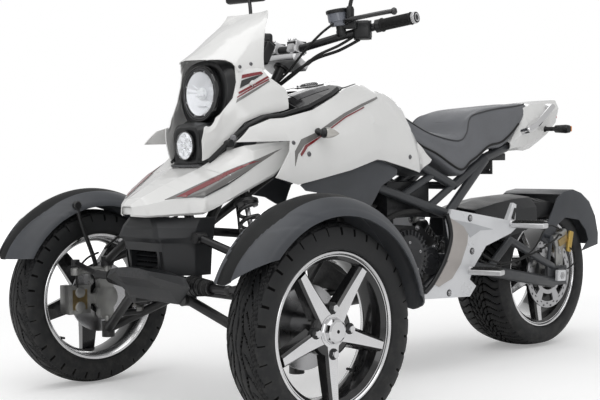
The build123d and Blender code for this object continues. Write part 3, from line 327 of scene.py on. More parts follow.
def paint_finishes(colours):
    """Paints, stripes and hard plastics."""
    finish("body_white", tuple(colours.body), 0.22, coat=0.9, vary=0.012, dust=0.03)
    finish("guard_grey", tuple(colours.guard), 0.42, grain=(1500.0, 0.25), dust=0.10,
           wear=((0.16, 0.17, 0.18), 0.25))
    finish("guard_dark", (0.007, 0.0075, 0.008), 0.60, grain=(1500.0, 0.3), dust=0.06, specular=0.3)
    finish("trim_black", (0.009, 0.0095, 0.0105), 0.36, grain=(1300.0, 0.2), dust=0.03)
    finish("bumper_black", (0.013, 0.014, 0.016), 0.42, grain=(1300.0, 0.35), dust=0.06,
           wear=((0.08, 0.08, 0.085), 0.3))
    finish("gloss_black", (0.012, 0.012, 0.013), 0.12, coat=0.8, vary=0.05)
    finish("frame_paint", tuple(colours.frame_tube), 0.36, coat=0.15, dust=0.10,
           wear=((0.13, 0.13, 0.135), 0.3))
    finish("chassis_black", (0.009, 0.009, 0.010), 0.36, dust=0.08, wear=((0.10, 0.10, 0.10), 0.3))
    finish("spring_black", (0.016, 0.016, 0.017), 0.28, coat=0.4, dust=0.10)
    finish("silver_paint", (0.74, 0.75, 0.77), 0.30, metal=0.15, coat=0.35, vary=0.03, dust=0.03)
    finish("plate_shade", (0.50, 0.51, 0.53), 0.34, metal=0.25, coat=0.3, vary=0.04)
    finish("gold_paint", (0.52, 0.36, 0.10), 0.35, metal=0.75, vary=0.10)
    finish("stripe_red", tuple(colours.stripe), 0.22, coat=0.9, vary=0.04)
    finish("stripe_black", (0.014, 0.014, 0.015), 0.22, coat=0.9, vary=0.04)
    # Grey of the grey stripes, also used as painted shade of the side panels' groove.
    finish("grey_stripe_and_groove_shade", (0.16, 0.155, 0.15), 0.22, coat=0.9, vary=0.04)
    finish("ring_grey", (0.10, 0.10, 0.105), 0.25, metal=0.6, vary=0.05)


def metal_finishes():
    """Bare, cast and plated metals."""
    finish("engine_black", (0.010, 0.010, 0.011), 0.40, metal=0.2, grain=(500.0, 0.6), dust=0.10,
           wear=((0.12, 0.12, 0.12), 0.35))
    finish("engine_cover", (0.030, 0.031, 0.034), 0.30, metal=0.3, grain=(700.0, 0.3))
    finish("cast_alloy", (0.36, 0.36, 0.35), 0.42, metal=0.85, grain=(420.0, 0.9), vary=0.22, dust=0.15)
    finish("cast_bright", (0.70, 0.70, 0.71), 0.32, metal=0.55, grain=(700.0, 0.4), vary=0.06)
    finish("bronze_cast", (0.36, 0.27, 0.13), 0.40, metal=0.9, grain=(420.0, 0.7), vary=0.25)
    finish("satin_metal", (0.46, 0.43, 0.41), 0.36, metal=0.35, vary=0.05)
    finish("screw_grey", (0.20, 0.20, 0.21), 0.30, metal=0.7, vary=0.10)
    finish("chrome", (0.74, 0.74, 0.75), 0.08, metal=1.0, vary=0.03)
    finish("steel", (0.50, 0.50, 0.51), 0.28, metal=1.0, vary=0.10)
    finish("chain_steel", (0.20, 0.20, 0.20), 0.42, metal=0.9, vary=0.30, grain=(700.0, 0.5))
    finish("rim_black", (0.010, 0.010, 0.011), 0.16, coat=0.6, dust=0.06)
    finish("mirror", (0.85, 0.86, 0.88), 0.02, metal=1.0, vary=0.01)


def soft_finishes(colours):
    """Rubber and seat covers."""
    finish("tyre_rubber", (0.0085, 0.009, 0.010), 0.52, grain=(1100.0, 0.4), vary=0.18, dust=0.07,
           specular=0.42)
    # Near-black, dull finish for the groove faces: painted shade in the tread grooves, darker than the rubber
    # itself.
    finish("tread_groove_painted_shade", (0.002, 0.002, 0.002), 0.9, dust=0.05, specular=0.05)
    finish("soft_rubber", (0.012, 0.012, 0.012), 0.62, grain=(900.0, 0.4), specular=0.35)
    finish("seat_seam", (0.045, 0.046, 0.050), 0.5, grain=(1600.0, 0.3), vary=0.1)
    leather("seat_cover", tuple(colours.seat))


def lamp_finishes():
    """Lenses, reflectors and lamp centres; the reflectors carry a painted reflection and the centres a
    painted glow.
    """
    finish("tank_glass", (0.16, 0.17, 0.20), 0.22, coat=0.5, vary=0.05)
    finish("lens_amber", (0.75, 0.25, 0.03), 0.12, coat=0.6, vary=0.05)
    finish("lens_red", (0.55, 0.02, 0.02), 0.10, coat=0.6, vary=0.05)
    finish("indicator_clear", (0.62, 0.60, 0.56), 0.12, metal=0.5, coat=0.8, vary=0.12)
    finish("reflector", (0.84, 0.84, 0.86), 0.16, metal=0.8, vary=0.06)
    finish("lamp_centre_painted_light", (0.80, 0.81, 0.82), 0.25, coat=0.5, vary=0.04)
    clear_lens("lens_clear", (0.96, 0.97, 0.98))
    # Emission on the reflectors is a painted reflection and on the lamp centres a painted glow; both brighten
    # the parts behind the lens.
    for name, strength in (("reflector", 0.07), ("lamp_centre_painted_light", 0.16)):
        shader = FINISHES[name].node_tree.nodes["Principled BSDF"]
        shader.inputs["Emission Color"].default_value = (1.0, 1.0, 1.0, 1.0)
        shader.inputs["Emission Strength"].default_value = strength


class TRIKE_OT_finishes(bpy.types.Operator):
    """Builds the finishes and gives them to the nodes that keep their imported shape"""

    bl_idname = "trike.finishes"
    bl_label = "Finishes"

    def execute(self, context):
        colours = context.scene.trike_finishes
        EFFECTS.update(fine_grain=grain_group(), road_dust=dust_group(), edge_wear=wear_group(),
                       leather_grain=leather_group(), lathe_marks=lathe_group())
        paint_finishes(colours)
        metal_finishes()
        soft_finishes(colours)
        lamp_finishes()
        for name, members in NODE_FINISHES.items():
            for member in members.split():
                dress(member, name)
        for member, width in SOFTENED.items():
            soften(member, width)
        return {"FINISHED"}


NODE_FINISHES = {
    "body_white": "nose_cowl headlight_cowl flyscreen side_panel_left side_panel_right tail_cowl",
    "guard_grey": "front_fender_left front_fender_right rear_fender side_scoops",
    "bumper_black": "front_bumper skid_plate hugger airbox plate_bracket instrument",
    "gloss_black": "headlight_housing tank",
    "trim_black": "hand_controls mirrors indicators cowl_trim",
    "frame_paint": "main_frame swingarm",
    "chassis_black": "front_frame suspension_arms steering_rack tie_rods shocks handlebar radiator exhaust",
    "engine_black": "engine",
    "cast_alloy": "knuckle_left knuckle_right rear_caliper footpegs",
    "silver_paint": "footrest_plates",
    "chrome": "grab_rails",
    "chain_steel": "chain",
    "rim_black": "front_rim_left front_rim_right rear_rim",
    "tyre_rubber": "front_tyre_left front_tyre_right rear_tyre",
    "soft_rubber": "grips",
    "lens_clear": "headlight lower_lamp",
    "lens_red": "tail_lamp",
    "seat_cover": "seat",
}


SOFTENED = {
    "nose_cowl": 0.0011, "headlight_cowl": 0.0009, "flyscreen": 0.0009, "side_panel_left": 0.0009,
    "side_panel_right": 0.0009, "tail_cowl": 0.0011, "tank": 0.003, "front_bumper": 0.0012,
    "skid_plate": 0.0025, "headlight_housing": 0.003, "rear_fender": 0.0009, "hugger": 0.0009,
    "side_scoops": 0.0011, "main_frame": 0.0, "front_frame": 0.0, "swingarm": 0.001,
    "suspension_arms": 0.0, "steering_rack": 0.0, "tie_rods": 0.0, "handlebar": 0.001,
    "knuckle_left": 0.0015, "knuckle_right": 0.0015, "rear_caliper": 0.002, "engine": 0.0012,
    "airbox": 0.004, "exhaust": 0.001, "footrest_plates": 0.0015, "plate_bracket": 0.0012,
    "radiator": 0.001, "instrument": 0.004, "cowl_trim": 0.0, "grab_rails": 0.0,
    "hand_controls": 0.002, "tail_lamp": 0.0009, "footpegs": 0.003,
}


def dress(name, item):
    """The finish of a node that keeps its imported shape."""
    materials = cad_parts[name].data.materials
    materials.clear()
    materials.append(FINISHES[item])


# Mesh helpers


def from_bmesh(name, bm, finishes, body="chassis", replaces=(), smooth=40.0):
    """A piece from a bmesh, with its normals outwards and its finishes, riding on a body."""
    bmesh.ops.recalc_face_normals(bm, faces=bm.faces)
    mesh = bpy.data.meshes.new(name)
    bm.to_mesh(mesh)
    bm.free()
    piece = bpy.data.objects.new(name, mesh)
    bpy.context.scene.collection.objects.link(piece)
    for item in finishes:
        mesh.materials.append(FINISHES[item])
    for face in mesh.polygons:
        face.use_smooth = True
    mesh.set_sharp_from_angle(angle=math.radians(smooth))
    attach(piece, body)
    if replaces:
        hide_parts(*replaces)
    return piece


def join(bm, first, second, material=0):
    """Faces between two closed rings of vertices, or between a ring and a single vertex."""
    sides = max(len(first), len(second))
    for k in range(sides):
        after = (k + 1) % sides
        if len(first) == 1 and len(second) == 1:
            continue
        if len(first) == 1:
            corners = (first[0], second[after], second[k])
        elif len(second) == 1:
            corners = (first[k], first[after], second[0])
        else:
            corners = (first[k], first[after], second[after], second[k])
        bm.faces.new(corners).material_index = material


def wheel_ring(bm, centre, t, radii, turn=0.0):
    """A ring of vertices round an axis along X, each with its own radius."""
    sides = len(radii)
    ring = []
    for k, radius in enumerate(radii):
        angle = turn + 2 * math.pi * k / sides
        ring.append(bm.verts.new((centre[0] + t, centre[1] + radius * math.cos(angle),
                                  centre[2] + radius * math.sin(angle))))
    return ring


def add_turned(bm, centre, outline, segments, material=0, closed=True):
    """Faces turned round an axis along X from (t, radius) points."""
    rings = [wheel_ring(bm, centre, t, [radius] * segments) for t, radius in outline]
    for first, second in zip(rings, rings[1:] + rings[:1] if closed else rings[1:]):
        join(bm, first, second, material)


def smooth_line(points, steps):
    """Points along a smooth curve through the given ones."""
    line = []
    last = len(points) - 1
    for i in range(last):
        before = Vector(points[max(i - 1, 0)])
        start = Vector(points[i])
        end = Vector(points[i + 1])
        after = Vector(points[min(i + 2, last)])
        for k in range(steps):
            t = k / steps
            line.append(0.5 * (2 * start + (end - before) * t
                               + (2 * before - 5 * start + 4 * end - after) * t * t
                               + (3 * start - before - 3 * end + after) * t ** 3))
    line.append(Vector(points[-1]))
    return line


def step_between(value, low, high):
    """0 below low, 1 above high and smooth between."""
    t = min(max((value - low) / (high - low), 0.0), 1.0)
    return t * t * (3 - 2 * t)


# Wheels


def front_grooves(turn, across):
    """How deep the front tread is cut at a turn of the wheel and a place across it."""
    side = abs(across)
    pitches = 34
    lean = 0.9 * (side - 0.3) ** 2 * 2.2
    phase = (turn * pitches / (2 * math.pi) - lean * 3.0) % 1.0
    half = abs(phase - 0.5)
    cut = (1 - step_between(half, 0.065, 0.10)) * step_between(side, 0.36, 0.42) * (
        1 - 0.35 * step_between(side, 0.95, 1.0))
    short = abs((phase + 0.5) % 1.0 - 0.5)
    cut = max(cut, (1 - step_between(short, 0.05, 0.085)) * step_between(side, 0.62, 0.70)
              * (1 - step_between(side, 0.86, 0.93)))
    wave = 0.30 + 0.055 * math.sin(turn * pitches / 2)
    cut = max(cut, 1 - step_between(abs(side - wave), 0.030, 0.055))
    centre = abs(across - 0.05 * math.sin(turn * pitches / 2 + 1.2))
    return max(cut, 0.8 * (1 - step_between(centre, 0.018, 0.042)))


def rear_grooves(turn, across):
    """How deep the rear tread is cut, in wavy rows of blocks."""
    side = abs(across)
    pitches = 58
    lean = 0.9 * math.sin(side * 5.2) + 2.2 * side
    phase = (turn * pitches / (2 * math.pi) + lean) % 1.0
    half = abs(phase - 0.5)
    cut = (1 - step_between(half, 0.07, 0.12)) * (1 - step_between(side, 0.92, 0.99))
    for line in (0.0, 0.17, 0.34):
        wave = line + 0.012 * math.sin(turn * pitches)
        cut = max(cut, 1 - step_between(abs(side - wave), 0.010, 0.026))
    return cut * (1 - 0.35 * step_between(side, 0.5, 0.9))


def tyre_mesh(name, centre, radius, width, rim_width, seat_radius, grooves, depth, body, nodes):
    """A tyre with its tread cut into the mesh."""
    half = width / 2
    bead = rim_width / 2 - 0.005
    rise = radius - seat_radius
    shoulder = radius - 0.17 * rise
    sidewall = smooth_line([
        (bead, seat_radius + 0.0005, 0), (bead + 0.001, seat_radius + 0.012, 0),
        (half - 0.004, seat_radius + 0.22 * rise, 0), (half - 0.0003, seat_radius + 0.45 * rise, 0),
        (half * 0.97, seat_radius + 0.66 * rise, 0), (half * 0.89, shoulder, 0),
    ], 5)
    crown_steps = 56 if width < 0.16 else 84
    crown = []
    for k in range(1, crown_steps):
        place = 1 - 2 * k / crown_steps
        crown.append((half * 0.89 * place, radius - (radius - shoulder) * abs(place) ** 2.1, place))
    outline = [(p[0], p[1], None) for p in sidewall]
    outline += crown
    outline += [(-p[0], p[1], None) for p in reversed(sidewall)]
    segments = 480
    bm = bmesh.new()
    rings = []
    cuts = []
    for t, far, place in outline:
        row = []
        for k in range(segments):
            angle = 2 * math.pi * k / segments
            cut = depth * grooves(angle, place) if place is not None else 0.0
            if place is None and far > seat_radius + 0.58 * rise:
                cut = 0.45 * depth * grooves(angle, 0.97 if t > 0 else -0.97)
            row.append(cut)
        rings.append(wheel_ring(bm, centre, t, [far - cut for cut in row]))
        cuts.append([cut / depth for cut in row])
    count = len(rings)
    for i in range(count):
        first, second = rings[i], rings[(i + 1) % count]
        for k in range(segments):
            after = (k + 1) % segments
            face = bm.faces.new((first[k], first[after], second[after], second[k]))
            deep = (cuts[i][k] + cuts[i][after] + cuts[(i + 1) % count][k]
                    + cuts[(i + 1) % count][after]) / 4
            # Faces cut deep into the tread take the groove finish, painted shade in the grooves.
            face.material_index = 1 if deep > (0.5 if outline[i][2] is not None else 0.22) else 0
    return from_bmesh(name, bm, ["tyre_rubber", "tread_groove_painted_shade"], body=body, replaces=[nodes],
                      smooth=50)


def add_spoke(bm, centre, angle, hub, rim_at, widths, face_t, depth):
    """One cast spoke: a machined face with chamfers, black flanks and a flat, closed back."""
    out = Vector((0, math.cos(angle), math.sin(angle)))
    cross = Vector((0, -math.sin(angle), math.cos(angle)))
    rows = []
    steps = 8
    for k in range(steps + 1):
        s = k / steps
        reach = hub + (rim_at - hub) * s
        half = (widths[0] + (widths[1] - widths[0]) * s ** 0.75) / 2
        top = face_t[0] + (face_t[1] - face_t[0]) * s ** 2
        low = top - depth * (1 - 0.25 * s)
        points = [(-half - 0.011, low), (-half - 0.0045, top - 0.006), (-half, top - 0.0012),
                  (-half + 0.0012, top), (half - 0.0012, top), (half, top - 0.0012),
                  (half + 0.0045, top - 0.006), (half + 0.011, low)]
        rows.append([bm.verts.new(Vector(centre) + out * reach + cross * a + Vector((b, 0, 0)))
                     for a, b in points])
    polished = 3
    for first, second in zip(rows, rows[1:]):
        for i in range(len(first)):
            after = (i + 1) % len(first)
            face = bm.faces.new((first[i], first[after], second[after], second[i]))
            face.material_index = 1 if i == polished else 0
    for row in (rows[0], rows[-1]):
        bm.faces.new(row)


def add_prism(bm, centre, radius, low, high, sides, material, turn=0.0, cone=1.0):
    """A drum or nut along X."""
    ends = [wheel_ring(bm, centre, t, [reach] * sides, turn)
            for t, reach in ((low, radius), (high, radius * cone))]
    join(bm, *ends, material)
    for ring in ends:
        bm.faces.new(ring).material_index = material


def rim_mesh(name, centre, side, rim_width, faces, hub_radius, hub_in, cap, wheels, body, nodes):
    """A cast rim: polished lips, black barrel, spokes, hub with its cap and lug nuts."""
    half = rim_width / 2
    lip = wheels.lip_radius
    barrel = wheels.barrel_radius
    seat = wheels.seat_radius
    face = faces[0]
    nut_circle = 0.055
    bm = bmesh.new()

    def turned(outline, segments, material, closed=False):
        add_turned(bm, centre, [(side * t, radius) for t, radius in outline], segments, material, closed)

    black = [(half - 0.003, lip - 0.0075), (half - 0.007, lip - 0.012), (half - 0.016, barrel + 0.003),
             (half - 0.030, barrel), (0.034 - half, barrel), (0.022 - half, barrel + 0.004)]
    inner_lip = [(0.022 - half, barrel + 0.004), (0.008 - half, lip - 0.014), (0.0015 - half, lip - 0.008),
                 (-half, lip - 0.002), (0.001 - half, lip), (0.0045 - half, lip - 0.0002),
                 (0.005 - half, lip - 0.002), (0.005 - half, seat)]
    seat_line = [(0.005 - half, seat), (half - 0.005, seat)]
    outer_lip = [(half - 0.005, seat), (half - 0.005, lip - 0.002), (half - 0.0045, lip - 0.0002),
                 (half - 0.001, lip), (half, lip - 0.0015), (half, lip - 0.0055),
                 (half - 0.003, lip - 0.0075)]
    for line, material in ((black, 0), (inner_lip, 1), (seat_line, 0), (outer_lip, 1)):
        turned(line, 144, material)
    for k in range(wheels.spokes):
        angle = -math.pi / 2 + 2 * math.pi * k / wheels.spokes
        add_spoke(bm, centre, angle, hub_radius * 0.55, barrel + 0.006, (0.040, 0.020),
                  (side * face, side * faces[1]), side * 0.030)
    turned([(hub_in, 0.013), (hub_in, hub_radius), (face - 0.012, hub_radius * 1.12),
            (face - 0.004, hub_radius * 1.05), (face - 0.0005, hub_radius * 0.94), (face - 0.0002, 0.013)],
           72, 0, closed=True)
    turned([(face - 0.002, 0.030), (face + 0.0008, 0.040), (face + 0.0008, 0.024)], 72, 1)
    turned([(face - 0.001, 0.034), (face + 0.003, 0.034), (face + 0.0045, 0.031),
            (face + cap - 0.003, 0.0285), (face + cap, 0.0235), (face + cap, 0.0045)], 10, 2)
    # The cap's centre hole is lined in black as painted shade inside the hole.
    turned([(face + cap + 0.0001, 0.0049), (face + cap - 0.006, 0.0046), (face + cap - 0.006, 0.0005)], 24, 3)
    for k in range(4):
        angle = math.pi / 2 * k
        spot = (centre[0], centre[1] + nut_circle * math.cos(angle),
                centre[2] + nut_circle * math.sin(angle))
        add_prism(bm, spot, 0.0138, side * (face - 0.010), side * (face + 0.0018), 24, 3)
        add_prism(bm, spot, 0.0092, side * (face - 0.001), side * (face + 0.011), 6, 2, 0.3, 0.96)
    valve = (centre[0], centre[1] + 0.118 * side, centre[2] - 0.115)
    add_prism(bm, valve, 0.0035, -side * 0.035, -side * 0.008, 12, 3)
    return from_bmesh(name, bm, ["rim_black", "machined_" + name, "chrome", "trim_black"],
                      body=body, replaces=[nodes], smooth=22)


class TRIKE_OT_front_wheels(bpy.types.Operator):
    """Builds the two front tyres and rims"""

    bl_idname = "trike.front_wheels"
    bl_label = "Front wheels"

    def execute(self, context):
        wheels = context.scene.trike_wheels
        for label, side in SIDES:
            centre = (side * FRONT_WHEEL_X, FRONT_AXLE_Y, FRONT_TYRE_RADIUS)
            body = "front_wheel_" + label
            tyre_mesh("treaded_tyre_" + label, centre, FRONT_TYRE_RADIUS, FRONT_TYRE_WIDTH, 0.100,
                      wheels.seat_radius, front_grooves, wheels.groove_depth, body,
                      "front_tyre_" + label)
            machined("machined_cast_rim_" + label, centre)
            rim_mesh("cast_rim_" + label, centre, side, 0.100, (0.040, 0.047), 0.058, -0.050, 0.018,
                     wheels, body, "front_rim_" + label)
            bm = bmesh.new()
            low = -side * 0.052
            add_turned(bm, centre, [(low - side * 0.0024, 0.050), (low - side * 0.0024, 0.104),
                                    (low + side * 0.0024, 0.104), (low + side * 0.0024, 0.050)], 96)
            from_bmesh("brake_disc_" + label, bm, ["steel"], body=body)
        return {"FINISHED"}


class TRIKE_OT_rear_wheel(bpy.types.Operator):
    """Builds the rear tyre and rim with the brake disc and sprocket"""

    bl_idname = "trike.rear_wheel"
    bl_label = "Rear wheel"

    def execute(self, context):
        wheels = context.scene.trike_wheels
        centre = (0.0, REAR_AXLE_Y, REAR_TYRE_RADIUS)
        tyre_mesh("treaded_tyre_rear", centre, REAR_TYRE_RADIUS, REAR_TYRE_WIDTH, 0.192,
                  wheels.seat_radius, rear_grooves, wheels.groove_depth, "rear_wheel", "rear_tyre")
        machined("machined_cast_rim_rear", centre)
        rim_mesh("cast_rim_rear", centre, 1, 0.192, (0.074, 0.084), 0.050, -0.075, 0.004, wheels,
                 "rear_wheel", "rear_rim")
        bm = bmesh.new()
        add_turned(bm, centre, [(0.0980, 0.013), (0.0980, 0.052), (0.0640, 0.055), (0.0640, 0.013)], 64)
        add_turned(bm, centre, [(-0.120, 0.013), (-0.120, 0.050), (-0.070, 0.055), (-0.070, 0.013)], 64)
        from_bmesh("rear_hub_carriers", bm, ["cast_alloy"], body="rear_wheel")
        perforated_disc("rear_brake_disc", centre, 0.1155, 0.1205, 0.060, 0.122)
        toothed_wheel("rear_sprocket", centre, -0.1245, -0.1195, 0.040, 0.0865, 38)
        return {"FINISHED"}


def perforated_disc(name, centre, low, high, inner, outer):
    """A brake disc with slots and holes cut by leaving faces out."""
    bm = bmesh.new()
    segments = 144
    radii = [inner, inner + 0.010, inner + 0.014, outer - 0.022, outer - 0.0175, outer - 0.013,
             outer - 0.009, outer - 0.004, outer]
    grid = {}
    for side, t in enumerate((low, high)):
        for r, radius in enumerate(radii):
            for k, vert in enumerate(wheel_ring(bm, centre, t, [radius] * segments)):
                grid[side, r, k] = vert

    def is_open(r, k):
        if r < 0 or r >= len(radii) - 1:
            return True
        k %= segments
        if r == 2:
            return 2 <= k % 24 <= 17
        if r == 4:
            return k % 8 in (1, 2)
        if r == 6:
            return k % 8 in (5, 6)
        return False

    for r in range(len(radii) - 1):
        for k in range(segments):
            if is_open(r, k):
                continue
            after = (k + 1) % segments
            for side in (0, 1):
                bm.faces.new((grid[side, r, k], grid[side, r, after], grid[side, r + 1, after],
                              grid[side, r + 1, k]))
            for gone, a, b in ((is_open(r - 1, k), (r, k), (r, after)),
                               (is_open(r + 1, k), (r + 1, k), (r + 1, after)),
                               (is_open(r, k - 1), (r, k), (r + 1, k)),
                               (is_open(r, k + 1), (r, after), (r + 1, after))):
                if gone:
                    bm.faces.new((grid[0, a[0], a[1]], grid[0, b[0], b[1]],
                                  grid[1, b[0], b[1]], grid[1, a[0], a[1]]))
    bmesh.ops.delete(bm, geom=[v for v in bm.verts if not v.link_faces], context="VERTS")
    return from_bmesh(name, bm, ["steel"], body="rear_wheel")


def toothed_wheel(name, centre, low, high, inner, outer, teeth):
    """A sprocket with rounded teeth."""
    bm = bmesh.new()
    steps = teeth * 6
    rings = []
    depth = 0.007
    edge = [outer - depth * (0.5 + 0.5 * math.cos(2 * math.pi * k / steps * teeth)) for k in range(steps)]
    for t, radii in ((low, [inner] * steps), (low, edge), (high, edge), (high, [inner] * steps)):
        rings.append(wheel_ring(bm, centre, t, radii))
    for first, second in zip(rings, rings[1:] + rings[:1]):
        join(bm, first, second)
    return from_bmesh(name, bm, ["chain_steel"], body="rear_wheel")


# Shapes in any direction


def square_to(run):
    """Two directions square to a run."""
    unit = run.normalized()
    guide = Vector((0, 0, 1)) if abs(unit.z) < 0.9 else Vector((1, 0, 0))
    first = unit.cross(guide).normalized()
    return first, unit.cross(first)


def new_faces(bm, material=None):
    """Gives the faces made since the last call their material, or lets them keep theirs."""
    made = bm.faces.layers.int.get("made") or bm.faces.layers.int.new("made")
    for face in bm.faces:
        if not face[made]:
            face[made] = 1
            if material is not None:
                face.material_index = material


def round_ring(bm, centre, radius, sides, first, second):
    """A ring of vertices in the plane of two directions, its radius in millimetres."""
    return [bm.verts.new(centre + radius * MM * (math.cos(a) * first + math.sin(a) * second))
            for a in (2 * math.pi * k / sides for k in range(sides))]


def add_lathe(bm, start, end, outline, sides=32, material=0):
    """A closed shape turned round the line from start to end, from (mm along, mm radius) points.

    An outline that never reaches the line makes a ring with a hole through it.
    """
    unit = (end - start).normalized()
    axes = square_to(unit)
    rings = []
    for along, radius in outline:
        centre = start + unit * along * MM
        if radius > 0.01:
            rings.append(round_ring(bm, centre, radius, sides, *axes))
        else:
            rings.append([bm.verts.new(centre)])
    hollow = all(len(ring) > 1 for ring in rings)
    for low, high in zip(rings, rings[1:] + rings[:1] if hollow else rings[1:]):
        join(bm, low, high)
    for ring in (rings[0], rings[-1]):
        if len(ring) > 1 and not hollow:
            bm.faces.new(ring)
    new_faces(bm, material)


def close_loft(bm, rings, material):
    """Faces between rings in a row, with the first and the last one closed."""
    for low, high in zip(rings, rings[1:]):
        join(bm, low, high)
    for ring in (rings[0], rings[-1]):
        bm.faces.new(ring)
    new_faces(bm, material)


def add_symmetric(bm, stations, steps, material):
    """A closed shape through outlines at places along Y, each given by its half with x above 0."""
    rings = []
    for y, half in stations:
        whole = list(half) + [(-x, z) for x, z in reversed(half)]
        count = len(whole)
        ring = []
        for i in range(count):
            around = [whole[(i + j) % count] for j in (-1, 0, 1, 2)]
            for k in range(steps):
                t = k / steps
                x, z = (0.5 * (2 * b + (c - a) * t + (2 * a - 5 * b + 4 * c - d) * t * t
                               + (3 * b - a - 3 * c + d) * t ** 3) for a, b, c, d in zip(*around))
                ring.append(bm.verts.new(at(x, y, z)))
        rings.append(ring)
    close_loft(bm, rings, material)


def add_tube(bm, places, radius, sides=12, material=0):
    """A round tube along a line of places, closed at both ends."""
    first, second = square_to(places[1] - places[0])
    rings = []
    for i, place in enumerate(places):
        run = (places[min(i + 1, len(places) - 1)] - places[max(i - 1, 0)]).normalized()
        first = (first - run * first.dot(run)).normalized()
        second = run.cross(first)
        rings.append(round_ring(bm, place, radius, sides, first, second))
    close_loft(bm, rings, material)


def add_cable(bm, points, radius, sides=10, material=0):
    """A tube that bends smoothly through points given in millimetres."""
    add_tube(bm, smooth_line(line_of(points), 10), radius, sides, material)


def add_block(bm, centre, size, bevel=2.0, turn=(0, 0, 0), material=0, segments=2):
    """A box with rounded edges, in millimetres and degrees."""
    made = bmesh.ops.create_cube(bm, size=1.0)["verts"]
    spin = Matrix.Identity(4)
    for axis, angle in zip("XYZ", turn):
        spin = Matrix.Rotation(math.radians(angle), 4, axis) @ spin
    scale = Matrix.Diagonal((size[0] * MM, size[1] * MM, size[2] * MM, 1))
    bmesh.ops.transform(bm, matrix=Matrix.Translation(at(*centre)) @ spin @ scale, verts=made)
    edges = list(dict.fromkeys(edge for vert in made for edge in vert.link_edges))
    bmesh.ops.bevel(bm, geom=edges, offset=bevel * MM, segments=segments, profile=0.5,
                    affect="EDGES")
    new_faces(bm, material)


def add_bolt(bm, place, way, radius=5.0, height=4.0, material=0):
    """A socket screw with a washer, its head pointing a way."""
    place = Vector(place)
    end = place + Vector(way).normalized()
    add_lathe(bm, place, end, [(-1.5, 0), (-1.5, radius * 1.45), (0.7, radius * 1.4), (0.9, radius),
                               (height - 0.8, radius), (height, radius * 0.86),
                               (height, radius * 0.5), (height - 2.2, radius * 0.45),
                               (height - 2.2, 0)], 18, material)


def on_side(side, route):
    """A route of millimetre points as it lies on one side: 1 is left and -1 is right."""
    return [(side * x, y, z) for x, y, z in route]


def line_of(route):
    """The places of a route of millimetre points."""
    return [at(*point) for point in route]


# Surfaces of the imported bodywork, to lay stripes and screws on


def surface_of(*names):
    """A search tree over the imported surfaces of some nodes."""
    places = []
    faces = []
    for name in names:
        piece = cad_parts[name]
        base = len(places)
        places += [piece.matrix_world @ vert.co for vert in piece.data.vertices]
        faces += [[base + index for index in face.vertices] for face in piece.data.polygons]
    return BVHTree.FromPolygons(places, faces)


def lay_on(tree, place, way, lift):
    """A place moved on to a surface along a direction, with the surface's normal."""
    hit, normal, _, _ = tree.ray_cast(place + way * 0.06, -way, 0.14)
    if hit is None:
        hit, normal, _, _ = tree.find_nearest(place)
    if normal.dot(way) < 0:
        normal = -normal
    return hit + normal * lift, normal


def add_patch(bm, tree, corners, material=0, lift=0.0005, step=0.005):
    """A thin painted patch laid on a surface, from corners in millimetres."""
    ring = line_of(corners)
    middle = sum(ring, Vector()) / len(ring)
    way = Vector()
    for here, after in zip(ring, ring[1:] + ring[:1]):
        way += (here - middle).cross(after - middle)
    way.normalize()
    if way.x * middle.x < 0:
        way = -way
    patch = bmesh.new()
    patch.faces.new([patch.verts.new(place) for place in ring])
    for axis in square_to(way):
        spread = [(place - middle).dot(axis) for place in ring]
        cut = math.floor(min(spread) / step) * step
        while cut < max(spread):
            bmesh.ops.bisect_plane(patch, geom=patch.verts[:] + patch.edges[:] + patch.faces[:],
                                   plane_co=middle + axis * cut, plane_no=axis)
            cut += step
    bmesh.ops.triangulate(patch, faces=patch.faces[:])
    tops = {}
    lows = {}
    for vert in patch.verts:
        place, normal = lay_on(tree, vert.co, way, lift)
        tops[vert] = bm.verts.new(place)
        lows[vert] = bm.verts.new(place - normal * (lift + 0.0006))
    for face in patch.faces:
        bm.faces.new([tops[vert] for vert in face.verts])
        bm.faces.new([lows[vert] for vert in reversed(face.verts)])
    for edge in patch.edges:
        if edge.is_boundary:
            a, b = edge.verts
            bm.faces.new((tops[a], tops[b], lows[b], lows[a]))
    patch.free()
    new_faces(bm, material)


SHARP_FROM = math.radians(38.0)
WELD_DISTANCE = 0.00002


def soften(name, width):
    """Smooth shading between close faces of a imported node, with its edges eased."""
    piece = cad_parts[name]
    piece.modifiers.new("weld", "WELD").merge_threshold = WELD_DISTANCE
    if width:
        bevel = piece.modifiers.new("eased", "BEVEL")
        bevel.width = width
        bevel.segments = 2
        bevel.limit_method = "ANGLE"
        bevel.angle_limit = SHARP_FROM
        bevel.harden_normals = False
    piece.modifiers.new("shade", "NODES").node_group = smooth_nodes()


def smooth_nodes():
    """A modifier group that shades smooth and keeps the sharp edges."""
    name = "smooth_38"
    if name in bpy.data.node_groups:
        return bpy.data.node_groups[name]
    group = bpy.data.node_groups.new(name, "GeometryNodeTree")
    for way in ("INPUT", "OUTPUT"):
        group.interface.new_socket(name="Geometry", in_out=way, socket_type="NodeSocketGeometry")
    given, out, faces, edges, turn, limit = (group.nodes.new(kind) for kind in (
        "NodeGroupInput", "NodeGroupOutput", "GeometryNodeSetShadeSmooth", "GeometryNodeSetShadeSmooth",
        "GeometryNodeInputMeshEdgeAngle", "FunctionNodeCompare"))
    edges.domain = "EDGE"
    limit.operation = "LESS_THAN"
    limit.inputs["B"].default_value = SHARP_FROM
    for source, target in (
            (turn.outputs["Unsigned Angle"], limit.inputs["A"]),
            (limit.outputs["Result"], edges.inputs["Shade Smooth"]),
            (given.outputs[0], faces.inputs["Geometry"]),
            (faces.outputs["Geometry"], edges.inputs["Geometry"]),
            (edges.outputs["Geometry"], out.inputs[0])):
        group.links.new(source, target)
    return group


# Front guards


